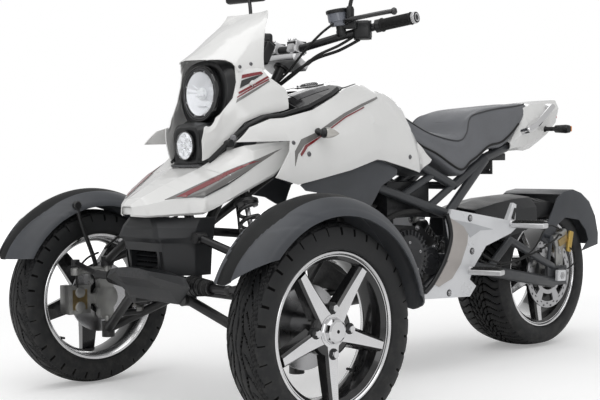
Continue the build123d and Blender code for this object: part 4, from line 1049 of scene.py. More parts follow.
GUARD_ARC = 88.0
GUARD_CENTRE = 242.0
GUARD_HALF_TURN = math.radians(68.7)
GUARD_WALL = 3.6
STAY_REACH = 292


def guard_point(turn, s, drop):
    """A place of the guard in (x, y, z) millimetres from the wheel centre."""
    lean = s * GUARD_HALF_TURN
    reach = GUARD_ARC - drop
    far = GUARD_CENTRE + reach * math.cos(lean)
    return reach * math.sin(lean), far * math.cos(turn), far * math.sin(turn)


def guard_drop(turn, s):
    """How far the guard's outside lies below its plain curve: a sunk band with stepped edges."""
    degrees = math.degrees(turn)
    band = 0.40 - 0.22 * step_between(degrees, 118, 152) - 0.10 * (1 - step_between(degrees, 8, 30))
    sunk = 1 - step_between(abs(s), band, band + 0.05)
    arrow = abs(s) * 26 + degrees
    steps = step_between(arrow, 128, 130) * (1 - step_between(arrow, 140, 142))
    rib = step_between(abs(s), 0.80, 0.84) * (1 - step_between(abs(s), 0.95, 0.99))
    return 4.0 * sunk + 1.8 * steps * (1 - sunk) - 0.9 * rib


def guard_mesh(name, side, node_name, body):
    """A crowned wheel guard with pointed ends, on two stays."""
    bm = bmesh.new()
    wheel = (side * FRONT_WHEEL_X, FRONT_AXLE_Y, FRONT_TYRE_RADIUS)
    rows = 110
    columns = 64
    shells = []
    for wall in (0.0, GUARD_WALL):
        shell = []
        for i in range(rows + 1):
            row = []
            for j in range(columns + 1):
                s = 2 * j / columns - 1
                front = 156.5 - 19 * max(s, 0) ** 1.4 - 5 * max(-s, 0) ** 2
                rear = 3.0 + 11 * max(s, 0) ** 1.6 + 3 * max(-s, 0)
                turn = math.radians(rear + (front - rear) * i / rows)
                x, y, z = guard_point(turn, s, guard_drop(turn, s) + wall)
                row.append(bm.verts.new((wheel[0] + side * x * MM, wheel[1] + y * MM,
                                         wheel[2] + z * MM)))
            shell.append(row)
        shells.append(shell)
    outer, inner = shells
    for i in range(rows):
        for j in range(columns):
            face = bm.faces.new((outer[i][j], outer[i + 1][j], outer[i + 1][j + 1], outer[i][j + 1]))
            s = 2 * (j + 0.5) / columns - 1
            turn = math.radians(3 + 153 * (i + 0.5) / rows)
            face.material_index = 1 if guard_drop(turn, s) > 2.0 else 0
            bm.faces.new((inner[i][j], inner[i][j + 1], inner[i + 1][j + 1], inner[i + 1][j]))
    for i in range(rows):
        for j in (0, columns):
            bm.faces.new((outer[i][j], outer[i + 1][j], inner[i + 1][j], inner[i][j]))
    for j in range(columns):
        for i in (0, rows):
            bm.faces.new((outer[i][j], outer[i][j + 1], inner[i][j + 1], inner[i][j]))
    new_faces(bm)
    foot_x = FRONT_WHEEL_X / MM - 72
    for y, turn in ((22, 62), (-22, 108)):
        spot = (math.cos(math.radians(turn)) * STAY_REACH, 262 + math.sin(math.radians(turn)) * STAY_REACH)
        add_cable(bm, [(side * 446, y, 318), (side * 440, y * 1.4, 372),
                       (side * (foot_x - 2), spot[0] * 0.86, spot[1] - 52),
                       (side * (foot_x - 2), spot[0], spot[1])], 6.5, 12, 2)
        add_lathe(bm, at(side * (foot_x - 9), spot[0], spot[1]), at(side * (foot_x + 9), spot[0], spot[1]),
                  [(0, 0), (0, 10), (2, 13), (12, 13), (14, 8), (14, 0)], 20, 2)
    return from_bmesh(name, bm, ["guard_grey", "guard_dark", "chassis_black"], body=body,
                      replaces=[node_name], smooth=30)


class TRIKE_OT_guards(bpy.types.Operator):
    """Builds the two crowned front guards on their stays"""

    bl_idname = "trike.guards"
    bl_label = "Front guards"

    def execute(self, context):
        for label, side in SIDES:
            guard_mesh("crowned_guard_" + label, side, "front_fender_" + label, "knuckle_" + label)
        return {"FINISHED"}


# Seat


SEAT_STATIONS = (
    (706, (60, 762), (86, 790), (80, 822), (48, 838)),
    (777, (98, 702), (123, 717), (101, 775), (60, 792)),
    (850, (118, 662), (139, 682), (119, 740), (70, 757)),
    (950, (128, 609), (149, 632), (138, 720), (90, 741)),
    (1000, (126, 635), (149, 656), (133, 744), (90, 748)),
    (1040, (124, 655), (147, 674), (117, 796), (90, 792)),
    (1105, (122, 692), (143, 707), (118, 815), (90, 823)),
    (1190, (118, 702), (133, 723), (114, 828), (86, 835)),
    (1290, (108, 768), (121, 781), (106, 838), (80, 844)),
    (1378, (84, 842), (88, 845), (79, 849), (60, 852)),
)


def seat_rows():
    """The seat's half outlines, smooth along its stations."""
    lists = [[Vector((station[0], *station[k])) for station in SEAT_STATIONS] for k in range(1, 5)]
    return list(zip(*(smooth_line(line, 8) for line in lists)))


class TRIKE_OT_seat(bpy.types.Operator):
    """Builds the stepped seat with its piping, seams and base"""

    bl_idname = "trike.seat"
    bl_label = "Seat"

    def execute(self, context):
        bm = bmesh.new()
        rows = seat_rows()
        rings = []
        welts = []
        for low, wide, upper, top in rows:
            y = low.x
            dip = 10 * math.exp(-((y - 905) / 95) ** 2) + 5 * math.exp(-((y - 1180) / 80) ** 2)
            half = [(0, low.z), (low.y, low.z), (wide.y, wide.z),
                    ((wide.y + upper.y) / 2 + 2.5, (wide.z + upper.z) / 2), (upper.y + 0.5, upper.z),
                    (top.y, top.z + 0.5), (top.y * 0.5, top.z + 1 - dip * 0.8), (0, top.z - dip)]
            line = smooth_line([Vector((a, b, 0)) for a, b in half], 5)
            points = [(p.x, p.y) for p in line] + [(-p.x, p.y) for p in reversed(line[1:-1])]
            ring = []
            for k, (x, z) in enumerate(points):
                ripple = 0.7 * math.sin(y * 0.11 + 0.4 * k) * math.exp(-((y - 1028) / 26) ** 2)
                ring.append(bm.verts.new(at(x, y, z + ripple)))
            rings.append(ring)
            welts.append((upper.y + 1.2, y, upper.z + 1.2))
        close_loft(bm, rings, 0)
        seat = from_bmesh("stepped_seat", bm, ["seat_cover"], replaces=["seat"], smooth=60)
        swell = seat.modifiers.new("rounded", "SUBSURF")
        swell.levels = 1
        swell.render_levels = 1
        self.piping(rows, welts)
        return {"FINISHED"}

    def piping(self, rows, welts):
        """Welts along the seat's edges, two seams at its step and a rubber edge below."""
        trim = bmesh.new()
        for _, side in SIDES:
            add_tube(trim, line_of(on_side(side, welts[1:-1])), 2.2, 10, 0)
        reach = 124
        for y, height in ((1022, 762), (1034, 784)):
            across = []
            for k in range(21):
                x = -reach + 12.4 * k
                across.append(at(x, y, height - 9 * (abs(x) / reach) ** 4))
            add_tube(trim, across, 1.4, 8, 0)
        low_edge = [(wide.y + 1.0, wide.x, wide.z - 2) for _, wide, _, _ in rows[3:-8]]
        for _, side in SIDES:
            add_tube(trim, line_of(on_side(side, low_edge)), 3.4, 10, 1)
        from_bmesh("seat_piping", trim, ["seat_seam", "soft_rubber"], smooth=60)


# Lamps


def add_forward(bm, x, y, z, outline, sides, material):
    """A turned shape whose axis points straight forwards."""
    add_lathe(bm, at(x, y, z), at(x, y - 10, z), outline, sides, material)


def add_bowl(bm, centre, radius, depth, flutes, material, front):
    """A fluted reflector bowl that opens forwards."""
    rings = []
    sides = 96
    steps = 12
    for k in range(1, steps + 1):
        share = k / steps
        ring = []
        for j in range(sides):
            angle = 2 * math.pi * j / sides
            reach = radius * share * MM
            back = depth * (1 - share ** 2) + 0.55 * share * math.cos(flutes * angle)
            if k == steps:
                back = 0.0
            ring.append(bm.verts.new(at(centre[0], front + back, centre[1])
                                     + Vector((reach * math.cos(angle), 0, reach * math.sin(angle)))))
        rings.append(ring)
    for low, high in zip(rings, rings[1:]):
        join(bm, low, high)
    bm.faces.new(rings[0])
    new_faces(bm, material)


HEADLAMP_Z = 849
HEADLAMP_FACE = 49.0
SMALL_LAMP_Z = 708
SMALL_LAMP_FACE = -14.4


class TRIKE_OT_lamps(bpy.types.Operator):
    """Builds the headlamp, the small lamp below it, the tail lamp and the indicators"""

    bl_idname = "trike.lamps"
    bl_label = "Lamps"

    def execute(self, context):
        self.surround()
        self.headlamp()
        self.small_lamp()
        self.indicators()
        return {"FINISHED"}

    def headlamp(self):
        """Rings, fluted bowl with a painted reflection, a centre with a painted glow, two bars, a circle of
        studs and a lens.
        """
        bm = bmesh.new()
        face = HEADLAMP_FACE
        for outline, paint in (
                ([(0, 62), (0, 77), (9, 77.5), (14, 76), (16.5, 73.5), (16.5, 71.5), (14.5, 70.5), (13, 66),
                  (13, 62)], 0),
                ([(12, 65.4), (12, 70.2), (15.6, 69.8), (16.6, 69), (16.6, 67.6), (15, 66.6), (15, 65.4)], 1),
                ([(12, 59), (12, 64.6), (14.6, 64.2), (15.4, 62), (14.2, 59.6)], 0)):
            add_forward(bm, 0, face, HEADLAMP_Z, outline, 96, paint)
        add_bowl(bm, (0, HEADLAMP_Z), 59.5, 13, 18, 2, face - 14.2)
        add_forward(bm, 0, face - 3, HEADLAMP_Z,
                    [(0, 0), (0, 17), (4, 18), (9, 15), (11, 8), (11.5, 0)], 48, 4)
        add_block(bm, (0, face - 13, HEADLAMP_Z - 5), (40, 5, 5), 1.5, material=2)
        add_block(bm, (0, face - 9, HEADLAMP_Z - 33), (34, 5, 4), 1.5, material=2)
        stud_circle = 62.5
        for degrees in (20, 70, 110, 160, 200, 250, 290, 340):
            angle = math.radians(degrees)
            x, z = stud_circle * math.cos(angle), stud_circle * math.sin(angle)
            add_forward(bm, x, face - 14, HEADLAMP_Z + z, [(0, 0), (0, 2.4), (1.6, 2.2), (2.2, 0)], 12, 3)
        from_bmesh("headlamp_bowl", bm, ["gloss_black", "ring_grey", "reflector", "chrome", "lamp_centre_painted_light"],
                   replaces=["headlight"], smooth=28)
        lens = bmesh.new()
        add_forward(lens, 0, face - 15.6, HEADLAMP_Z,
                    [(0, 0), (0, 59.8), (1.2, 59.8), (3.2, 48), (4.2, 30), (4.6, 0)], 96, 0)
        from_bmesh("headlamp_lens", lens, ["lens_clear"], smooth=60)

    def small_lamp(self):
        """A round body with five cups round a centre, a painted reflection in the cups and a painted glow in
        their middles and the centre, and a lens.
        """
        bm = bmesh.new()
        face = SMALL_LAMP_FACE
        body = [(0, 0), (0, 39.5), (4, 39.8), (6.6, 38.5), (6.6, 36.9), (5.2, 36.3), (2.5, 36.2), (2.5, 0)]
        add_forward(bm, 0, face, SMALL_LAMP_Z, body, 72, 0)
        add_forward(bm, 0, face, SMALL_LAMP_Z, [(2.4, 8), (2.4, 36.0), (3.4, 35.8), (3.4, 8.2)], 72, 1)
        face -= 2.4
        cups = 5
        cup_circle = 21.0
        for k in range(cups):
            angle = math.pi / 2 + 2 * math.pi * k / cups
            x, z = cup_circle * math.cos(angle), SMALL_LAMP_Z + cup_circle * math.sin(angle)
            add_forward(bm, x, face, z, [(0, 0), (0, 10.8), (4.2, 11.0), (4.2, 10.0), (1.6, 5.5), (1.4, 4.2)],
                        32, 1)
            add_forward(bm, x, face, z, [(0, 0), (0, 4), (2.6, 3.4), (3.4, 0)], 24, 2)
        add_forward(bm, 0, face, SMALL_LAMP_Z, [(0, 0), (0, 7), (3.2, 6.6), (3.8, 0)], 32, 2)
        from_bmesh("small_lamp_bowl", bm, ["gloss_black", "reflector", "lamp_centre_painted_light"],
                   replaces=["lower_lamp"], smooth=35)
        lens = bmesh.new()
        add_forward(lens, 0, SMALL_LAMP_FACE - 6.0, SMALL_LAMP_Z,
                    [(0, 0), (0, 36.0), (1.0, 36.0), (2.0, 26), (2.4, 0)], 72, 0)
        from_bmesh("small_lamp_lens", lens, ["lens_clear"], smooth=60)

    def surround(self):
        """The black lamp surround: a round upper lobe set back and a lower lobe before it."""
        bm = bmesh.new()

        def about(half, middle, scale):
            return [(x * scale, middle + (z - middle) * scale) for x, z in half]

        front = [(50, 762), (76, 786), (93, 818), (99, 852), (92, 894), (62, 926), (24, 938)]
        wide = [(66, 750), (103, 780), (125, 820), (126, 862), (115, 902), (84, 930), (32, 941)]
        low = [(40, 657), (52, 668), (54, 708), (52, 742), (34, 758)]
        deep = [(54, 652), (70, 668), (78, 708), (82, 744), (50, 768)]
        for middle, lip, body, places, back in (
                (HEADLAMP_Z, front, wide, (54, 51, 50, 51, 54, 64, 68), 112),
                (SMALL_LAMP_Z, low, deep, (-10, -13, -14.4, -12.5, -9, 4, 12), 64)):
            halves = [about(lip, middle, scale) for scale in (0.72, 0.80, 0.93, 0.985)]
            halves += [lip, about(body, middle, 0.97), body]
            add_symmetric(bm, [*zip(places, halves), (back, body)], 8, 0)
        from_bmesh("lamp_surround", bm, ["trim_black"], replaces=["headlight_housing"],
                   smooth=45)

    def indicators(self):
        """Clear front indicators on black stems, dark tapered rear ones and the tail lamp's cells."""
        bm = bmesh.new()
        lens = bmesh.new()
        for _, side in SIDES:
            add_lathe(bm, at(side * 217, 268, 741), at(side * 262, 265, 738),
                      [(0, 0), (0, 11), (4, 12), (8, 8.5), (26, 8), (32, 10), (33, 0)], 28, 0)
            front, back = at(side * 247, 252, 739), at(side * 262, 300, 737)
            add_lathe(bm, front, back,
                      [(0, 0), (1, 8), (5, 12.5), (11, 14.5), (13, 14.2), (13, 0)], 32, 0)
            add_lathe(lens, front, back,
                      [(13.3, 0), (13.3, 14), (22, 15), (34, 12.5), (46, 7.5), (54, 2.8), (57, 0)], 36, 0)
            add_lathe(bm, at(side * 92, 1476, 764), at(side * 202, 1475, 761),
                      [(0, 0), (0, 10), (5, 10.5), (10, 7.5), (44, 7.5), (50, 13), (92, 15), (104, 13),
                       (107, 0)], 32, 0)
            add_block(lens, (side * 170, 1488, 762), (56, 6, 19), 2.6, material=1)
        from_bmesh("indicator_bodies", bm, ["trim_black"], replaces=["indicators"])
        from_bmesh("indicator_lenses", lens, ["indicator_clear", "lens_amber"], smooth=50)
        tail = bmesh.new()
        for k in range(9):
            x = -60 + 15 * k
            add_block(tail, (x, 1586.5, 822), (13, 5, 42 - abs(k - 4) * 1.5), 1.8, material=0)
        from_bmesh("tail_lamp_cells", tail, ["lens_red"], smooth=50)


# Painted stripes, the painted shade of the side panels' groove, screws and small trim of the bodywork


STRIPES = (
    ("grey_stripe_and_groove_shade", "nose_cowl", ((90, -151, 568), (142, -38, 622), (196, 70, 669), (203, 151, 696),
                                  (194, 46, 642), (182, -20, 608), (166, -81, 576), (136, -114, 573))),
    ("stripe_red", "nose_cowl", ((112, -130, 575), (148, -40, 620), (196, 66, 664), (199, 84, 668),
                                 (171, -38, 613), (134, -116, 575))),
    ("stripe_black", "nose_cowl", ((140, -112, 575), (167, -79, 579), (183, -18, 609),
                                   (196, 50, 645), (182, -22, 602), (166, -84, 573))),
    ("stripe_red", "headlight_cowl", ((129, 78, 894), (138, 136, 904), (142, 140, 898), (130, 75, 884))),
    ("stripe_black", "headlight_cowl", ((132, 67, 858), (131, 74, 879), (142, 137, 896),
                                        (143, 92, 873))),
    ("stripe_red", "headlight_cowl", ((131, 63, 848), (146, 152, 893), (147, 156, 889),
                                      (132, 63, 842))),
    ("stripe_red", "headlight_cowl", ((131, 59, 836), (148, 153, 885), (150, 154, 882),
                                      (131, 58, 832))),
    ("grey_stripe_and_groove_shade", "headlight_cowl", ((130, 55, 819), (152, 155, 878), (150, 154, 881),
                                       (131, 58, 829))),
    # The grey strip on each side panel is painted shade of the groove between the front fairing and the
    # panel; the red stripe along it is paint.
    ("grey_stripe_and_groove_shade", "side_panel", ((240, 164, 650), (236, 178, 682), (232, 206, 706), (225, 253, 724),
                                   (214, 323, 757), (200, 391, 787), (180, 471, 815), (158, 560, 842),
                                   (158, 560, 848), (180, 471, 823), (200, 391, 796), (208, 326, 769),
                                   (222, 262, 741), (232, 200, 722), (238, 168, 690))),
    ("stripe_red", "side_panel", ((238, 190, 676), (232, 214, 700), (224, 262, 722), (214, 323, 751),
                                  (200, 391, 782), (178, 480, 813), (178, 480, 816), (200, 391, 786),
                                  (214, 323, 755), (225, 256, 724), (233, 208, 705), (238, 187, 683))),
)
SCREWS = (
    ("side_panel", (236, 219, 682), 5.0), ("side_panel", (201, 658, 671), 5.0),
    ("side_panel", (228, 170, 712), 4.2), ("flyscreen", (125, 74, 916), 3.6),
    ("flyscreen", (128, 110, 925), 3.6), ("cowl_trim", (127, 46, 727), 6.0),
)


class TRIKE_OT_trim(bpy.types.Operator):
    """Lays the stripes and the painted shade of the side panels' groove on the bodywork and adds its screws,
    filler cap and nose details
    """

    bl_idname = "trike.trim"
    bl_label = "Stripes and trim"

    def execute(self, context):
        sheets = {}
        screws = bmesh.new()
        for label, side in SIDES:
            for paint, host, corners in STRIPES:
                name = host + "_" + label if host == "side_panel" else host
                if paint not in sheets:
                    sheets[paint] = bmesh.new()
                lift = 0.0013 if paint == "grey_stripe_and_groove_shade" else 0.0021
                add_patch(sheets[paint], surface_of(name), on_side(side, corners), lift=lift)
            for host, (x, y, z), radius in SCREWS:
                name = host + "_" + label if host == "side_panel" else host
                way = Vector((side, -0.2, 0.25)).normalized()
                place, normal = lay_on(surface_of(name), at(side * x, y, z), way, 0.0005)
                add_bolt(screws, place, normal, radius, 3.0)
        for paint, sheet in sheets.items():
            from_bmesh("painted_" + paint, sheet, [paint], smooth=60)
        for k in range(3):
            turn = 2 * math.pi * k / 3
            place = at(34 * math.cos(turn), 440 + 34 * math.sin(turn), 885)
            spot, normal = lay_on(surface_of("tank"), place, Vector((0, 0, 1)), 0.0)
            add_bolt(screws, spot + normal * 0.004, normal, 2.6, 3.0)
        from_bmesh("trim_screws", screws, ["screw_grey"])
        cap = bmesh.new()
        spot, normal = lay_on(surface_of("tank"), at(0, 440, 885), Vector((0, 0, 1)), 0.0)
        add_lathe(cap, spot - normal * 0.012, spot + normal, [
            (0, 0), (0, 46), (12, 46), (14, 44.5), (15, 41), (15, 30), (16, 29), (18, 27), (18.5, 20),
            (18, 0)], 72, 0)
        add_lathe(cap, spot, spot + normal, [(2, 25), (7.4, 25), (7.6, 22), (7.0, 21.6), (2, 21.6)],
                  48, 1)
        from_bmesh("filler_cap", cap, ["gloss_black", "ring_grey"], smooth=35)
        self.tank_top()
        self.chin()
        return {"FINISHED"}

    def tank_top(self):
        """The grey shoulders of the tank's dark top."""
        bm = bmesh.new()
        for _, side in SIDES:
            corners = ((112, 290, 834), (104, 380, 858), (96, 430, 872), (60, 440, 880), (54, 380, 866),
                       (58, 300, 846))
            add_patch(bm, surface_of("tank"), on_side(side, corners), lift=0.0012)
        from_bmesh("tank_shoulders", bm, ["ring_grey"], smooth=60)

    def chin(self):
        """Bolts of the chin bumper, the radiator's core, the small lamp's bar and the nose's cap."""
        bm = bmesh.new()
        for _, side in SIDES:
            add_bolt(bm, at(side * 108, -130, 344), (side * 0.3, -0.8, 0.4), 6, 4, 0)
            add_bolt(bm, at(side * 20, -166, 500), (0, -1, 0.2), 3, 3, 0)
        from_bmesh("chin_bolts", bm, ["steel"])
        bm = bmesh.new()
        for k in range(9):
            add_block(bm, (-56 + 14 * k, -121, 408), (2.4, 8, 48), 0.8, material=0)
        for k in range(16):
            add_block(bm, (0, -117, 400 + 5 * k), (140, 1.6, 1.6), 0.4, material=1)
        from_bmesh("radiator_core", bm, ["trim_black", "steel"])
        bar = bmesh.new()
        add_block(bar, (0, -15, 655), (122, 14, 7), 2.4, (12, 0, 0))
        from_bmesh("lamp_base_bar", bar, ["ring_grey"])
        cap = bmesh.new()
        add_block(cap, (0, -196, 540), (72, 12, 21), 4, (8, 0, 0), 0, 3)
        from_bmesh("nose_cap", cap, ["body_white"])


# Handlebar


class TRIKE_OT_controls(bpy.types.Operator):
    """Builds the grips, clamps, reservoirs, switches, cables, mirrors and dash"""

    bl_idname = "trike.controls"
    bl_label = "Handlebar"

    def execute(self, context):
        self.grips()
        self.clamps()
        self.boxes()
        self.cables()
        self.mirrors()
        self.dash()
        return {"FINISHED"}

    def grips(self):
        """Ribbed grips with collars."""
        bm = bmesh.new()
        for _, side in SIDES:
            outline = [(0, 11.4), (0, 19.5), (3, 20), (5, 17)]
            for k in range(21):
                outline += [(6.5 + 4 * k, 15.7), (7.5 + 4 * k, 16.9), (9.3 + 4 * k, 16.9),
                            (10.3 + 4 * k, 15.7)]
            outline += [(92, 16.4), (96, 18.2), (99, 17.4), (99.6, 11.4)]
            add_lathe(bm, at(side * 252.5, 488.6, 1043.4), at(side * 351, 508.8, 1054.9), outline, 40, 0)
        from_bmesh("ribbed_grips", bm, ["soft_rubber"], body="steering", replaces=["grips"],
                   smooth=35)

    def clamps(self):
        """Bright risers, clamps, top nut and bar ends."""
        bm = bmesh.new()
        for _, side in SIDES:
            add_lathe(bm, at(side * 45, 338, 950), at(side * 45, 352, 985),
                      [(0, 0), (0, 20), (4, 21), (10, 18), (26, 17), (36, 20), (36, 0)], 36, 0)
            add_block(bm, (side * 45, 352, 988), (38, 48, 38), 7, (-14, 0, 0), 0, 3)
            for x in (-12, 12):
                for y in (-17, 17):
                    add_bolt(bm, at(side * 45 + x, 352 + y, 1006 - y * 0.25), (0, 0.24, 0.97), 3.4, 4, 1)
            add_lathe(bm, at(side * 351.5, 509, 1055), at(side * 364, 511.5, 1056.4),
                      [(0, 0), (0, 15.6), (2, 16.4), (9, 16.4), (12.5, 13.5), (13.2, 9), (11, 6), (11, 0)],
                      36, 0)
        add_block(bm, (0, 338.7, 945), (158, 64, 25), 8, (-32, 0, 0), 0, 3)
        add_lathe(bm, at(0, 333, 936), at(0, 345, 955),
                  [(0, 0), (0, 21), (24, 21), (25, 17), (32, 16), (34, 13.5), (34, 0)], 6, 1)
        from_bmesh("bar_clamps", bm, ["cast_bright", "chrome"], body="steering", smooth=35)

    def boxes(self):
        """Switch boxes, levers, brake and clutch reservoirs and their caps."""
        bm = bmesh.new()
        for _, side in SIDES:
            turn = (0, 0, side * 38)
            box = (side * 212, 452, 1030)
            add_block(bm, box, (50, 47, 53), 9, turn, 0, 3)
            add_block(bm, box, (50.8, 1.2, 54), 0.4, turn, 1)
            for k, paint in ((-1, 2), (0, 3), (1, 2)):
                add_block(bm, (side * (206 + 6 * k), 474 - 5 * k, 1032 + 14 * k), (14, 8, 9), 2,
                          turn, paint)
            foot, head = at(side * 181, 389, 1040), at(side * 178, 382, 1085)
            add_lathe(bm, foot, head,
                      [(0, 0), (0, 20), (3, 23), (12, 24), (14, 27), (36, 27.5), (37, 29), (44, 29),
                       (46, 27), (46.5, 0)], 44, 5)
            add_lathe(bm, foot, head,
                      [(36.6, 0), (36.6, 29.8), (38, 30.4), (45.4, 30.2), (47.4, 27.5), (47.6, 0)], 44, 0)
            add_block(bm, (side * 192, 412, 1044), (58, 30, 24), 6, (6, 0, side * 30), 0, 3)
            add_lathe(bm, at(side * 180, 402, 1014), at(side * 180, 392, 1052),
                      [(0, 0), (0, 13), (4, 14.5), (14, 14.5), (18, 12.5), (38, 12.5), (38, 0)], 28, 0)
            lever = ((192, 424, 1041), (208, 388, 1052), (262, 396, 1058), (330, 420, 1066), (350, 431, 1068))
            add_tube(bm, smooth_line(line_of(on_side(side, lever)), 8), 6.4, 14, 1)
            add_lathe(bm, at(side * 344, 428, 1067), at(side * 360, 436, 1069),
                      [(0, 0), (1, 6), (5, 9.6), (9, 10.4), (13, 9.6), (17, 5.5), (18, 0)], 24, 1)
            add_lathe(bm, at(side * 236, 478, 1040), at(side * 251, 488, 1043),
                      [(0, 0), (0, 15), (2, 18.5), (15, 18.5), (17, 16), (17, 0)], 32, 0)
        from_bmesh("switches_and_levers", bm, ["trim_black", "gloss_black", "ring_grey", "lens_red",
                   "steel", "tank_glass"], body="steering", replaces=["hand_controls"],
                   smooth=38)

    def cables(self):
        """Control cables and brake hoses that drop from the bar to the column."""
        bm = bmesh.new()
        routes = (
            (1, 4.2, (196, 432, 1012), (176, 392, 986), (136, 342, 956), (84, 306, 908), (34, 286, 874)),
            (1, 3.6, (188, 372, 1050), (158, 344, 1020), (116, 322, 976), (70, 300, 920), (28, 278, 878)),
            (1, 4.6, (206, 446, 1004), (168, 402, 974), (120, 352, 950), (72, 314, 912), (30, 294, 880)),
            (-1, 4.2, (196, 432, 1012), (176, 392, 986), (136, 342, 956), (84, 306, 908), (34, 286, 874)),
            (-1, 3.6, (188, 372, 1050), (160, 342, 1022), (118, 320, 978), (72, 298, 922), (28, 278, 878)),
            (-1, 3.4, (206, 446, 1004), (166, 400, 974), (118, 350, 950), (70, 312, 912), (30, 294, 880)),
        )
        for side, radius, *points in routes:
            add_cable(bm, on_side(side, points), radius, 10, 0)
        for _, side in SIDES:
            add_lathe(bm, at(side * 136, 342, 956), at(side * 84, 306, 908),
                      [(20, 0), (20, 6.4), (34, 6.4), (34, 0)], 16, 1)
        from_bmesh("control_cables", bm, ["soft_rubber", "trim_black"], body="steering",
                   smooth=60)

    def mirrors(self):
        """Mirror stems, rounded shells and glasses."""
        bm = bmesh.new()
        glass = bmesh.new()
        for _, side in SIDES:
            stem = ((214, 399, 1078), (217, 401, 1104), (228, 408, 1136), (252, 424, 1166), (276, 440, 1192))
            add_tube(bm, smooth_line(line_of(on_side(side, stem)), 8), 5.6, 14, 0)
            add_lathe(bm, at(side * 214, 399, 1062), at(side * 215, 400, 1092),
                      [(0, 0), (0, 12), (4, 12.5), (22, 12), (30, 9), (30, 0)], 28, 0)
            add_block(bm, (side * 290, 446, 1205), (150, 26, 92), 11, (-8, 0, side * -14), 0, 4)
            add_block(glass, (side * 293.2, 458.8, 1203.2), (134, 1.6, 76), 0.7, (-8, 0, side * -14))
        from_bmesh("mirror_shells", bm, ["trim_black"], body="steering",
                   replaces=["mirrors"])
        from_bmesh("mirror_glasses", glass, ["mirror"], body="steering")

    def dash(self):
        """The instrument pod on its arm, with a bezel, a screen and buttons on its upper face."""
        bm = bmesh.new()
        tilt = (-30, 0, 0)
        y, z = 236, 968
        back, up = 0.5, 0.866
        add_block(bm, (0, y, z), (112, 36, 66), 9, tilt, 0, 4)
        add_tube(bm, [at(0, 104, 926), at(0, 228, 964)], 9, 20, 0)
        for out, size, bevel, paint in ((33.5, (104, 32, 5), 1.8, 0), (36.4, (92, 23, 1.6), 0.7, 1)):
            add_block(bm, (0, y + back * out, z + up * out), size, bevel, tilt, paint, 2)
        for x in (-30, 0, 30):
            add_block(bm, (x, y + back * 22 + 15.8, z + up * 22 - 9.2), (14, 4, 8), 1.6, tilt, 2)
        from_bmesh("dash_pod", bm, ["trim_black", "gloss_black", "ring_grey"],
                   replaces=["instrument"])


# Springs, chain, engine and footrests


def add_coil_over(bm, foot, head, turns, scale=1.0):
    """A damper in a coil spring with its seats and eyes."""
    run = (head - foot)
    length = run.length / MM
    unit = run.normalized()
    first, second = square_to(unit)
    add_lathe(bm, foot, head, [(8, 0), (8, 9), (14, 15), (22, 19), (26, 30 * scale), (31, 33 * scale),
                               (46, 33 * scale), (46, 19), (46, 0)], 36, 0)
    add_lathe(bm, foot, head, [(40, 0), (40, 15), (length * 0.55, 15), (length * 0.55, 7),
                               (length - 30, 7), (length - 30, 0)], 24, 2)
    add_lathe(bm, foot, head, [(length - 42, 0), (length - 42, 33 * scale), (length - 34, 33 * scale),
                               (length - 30, 26), (length - 20, 15), (length - 8, 12),
                               (length - 8, 0)], 36, 0)
    coil = []
    low, high = 48, length - 44
    steps = turns * 20
    for k in range(steps + 1):
        angle = 2 * math.pi * turns * k / steps
        along = low + (high - low) * k / steps
        coil.append(foot + unit * along * MM
                    + 25.5 * scale * MM * (math.cos(angle) * first + math.sin(angle) * second))
    add_tube(bm, coil, 5.4 * scale, 10, 1)
    for place in (foot, head):
        add_lathe(bm, place - Vector((0, 0.012, 0)), place + Vector((0, 0.012, 0)),
                  [(0, 5), (0, 13), (1.5, 14), (22.5, 14), (24, 13), (24, 5)], 28, 3)
        add_bolt(bm, place - Vector((0, 0.012, 0)), (0, -1, 0), 7, 5, 2)


CHAIN_PITCH = 15.875
CHAIN_X = -122


def towards(a, b, share):
    """The flat place a share of the way from one place to another."""
    return tuple(a[i] + (b[i] - a[i]) * share for i in range(2))


def round_spot(circle, way):
    """The flat place at an angle on a (y, z, radius) circle."""
    y, z, radius = circle
    return y + radius * math.cos(way), z + radius * math.sin(way)


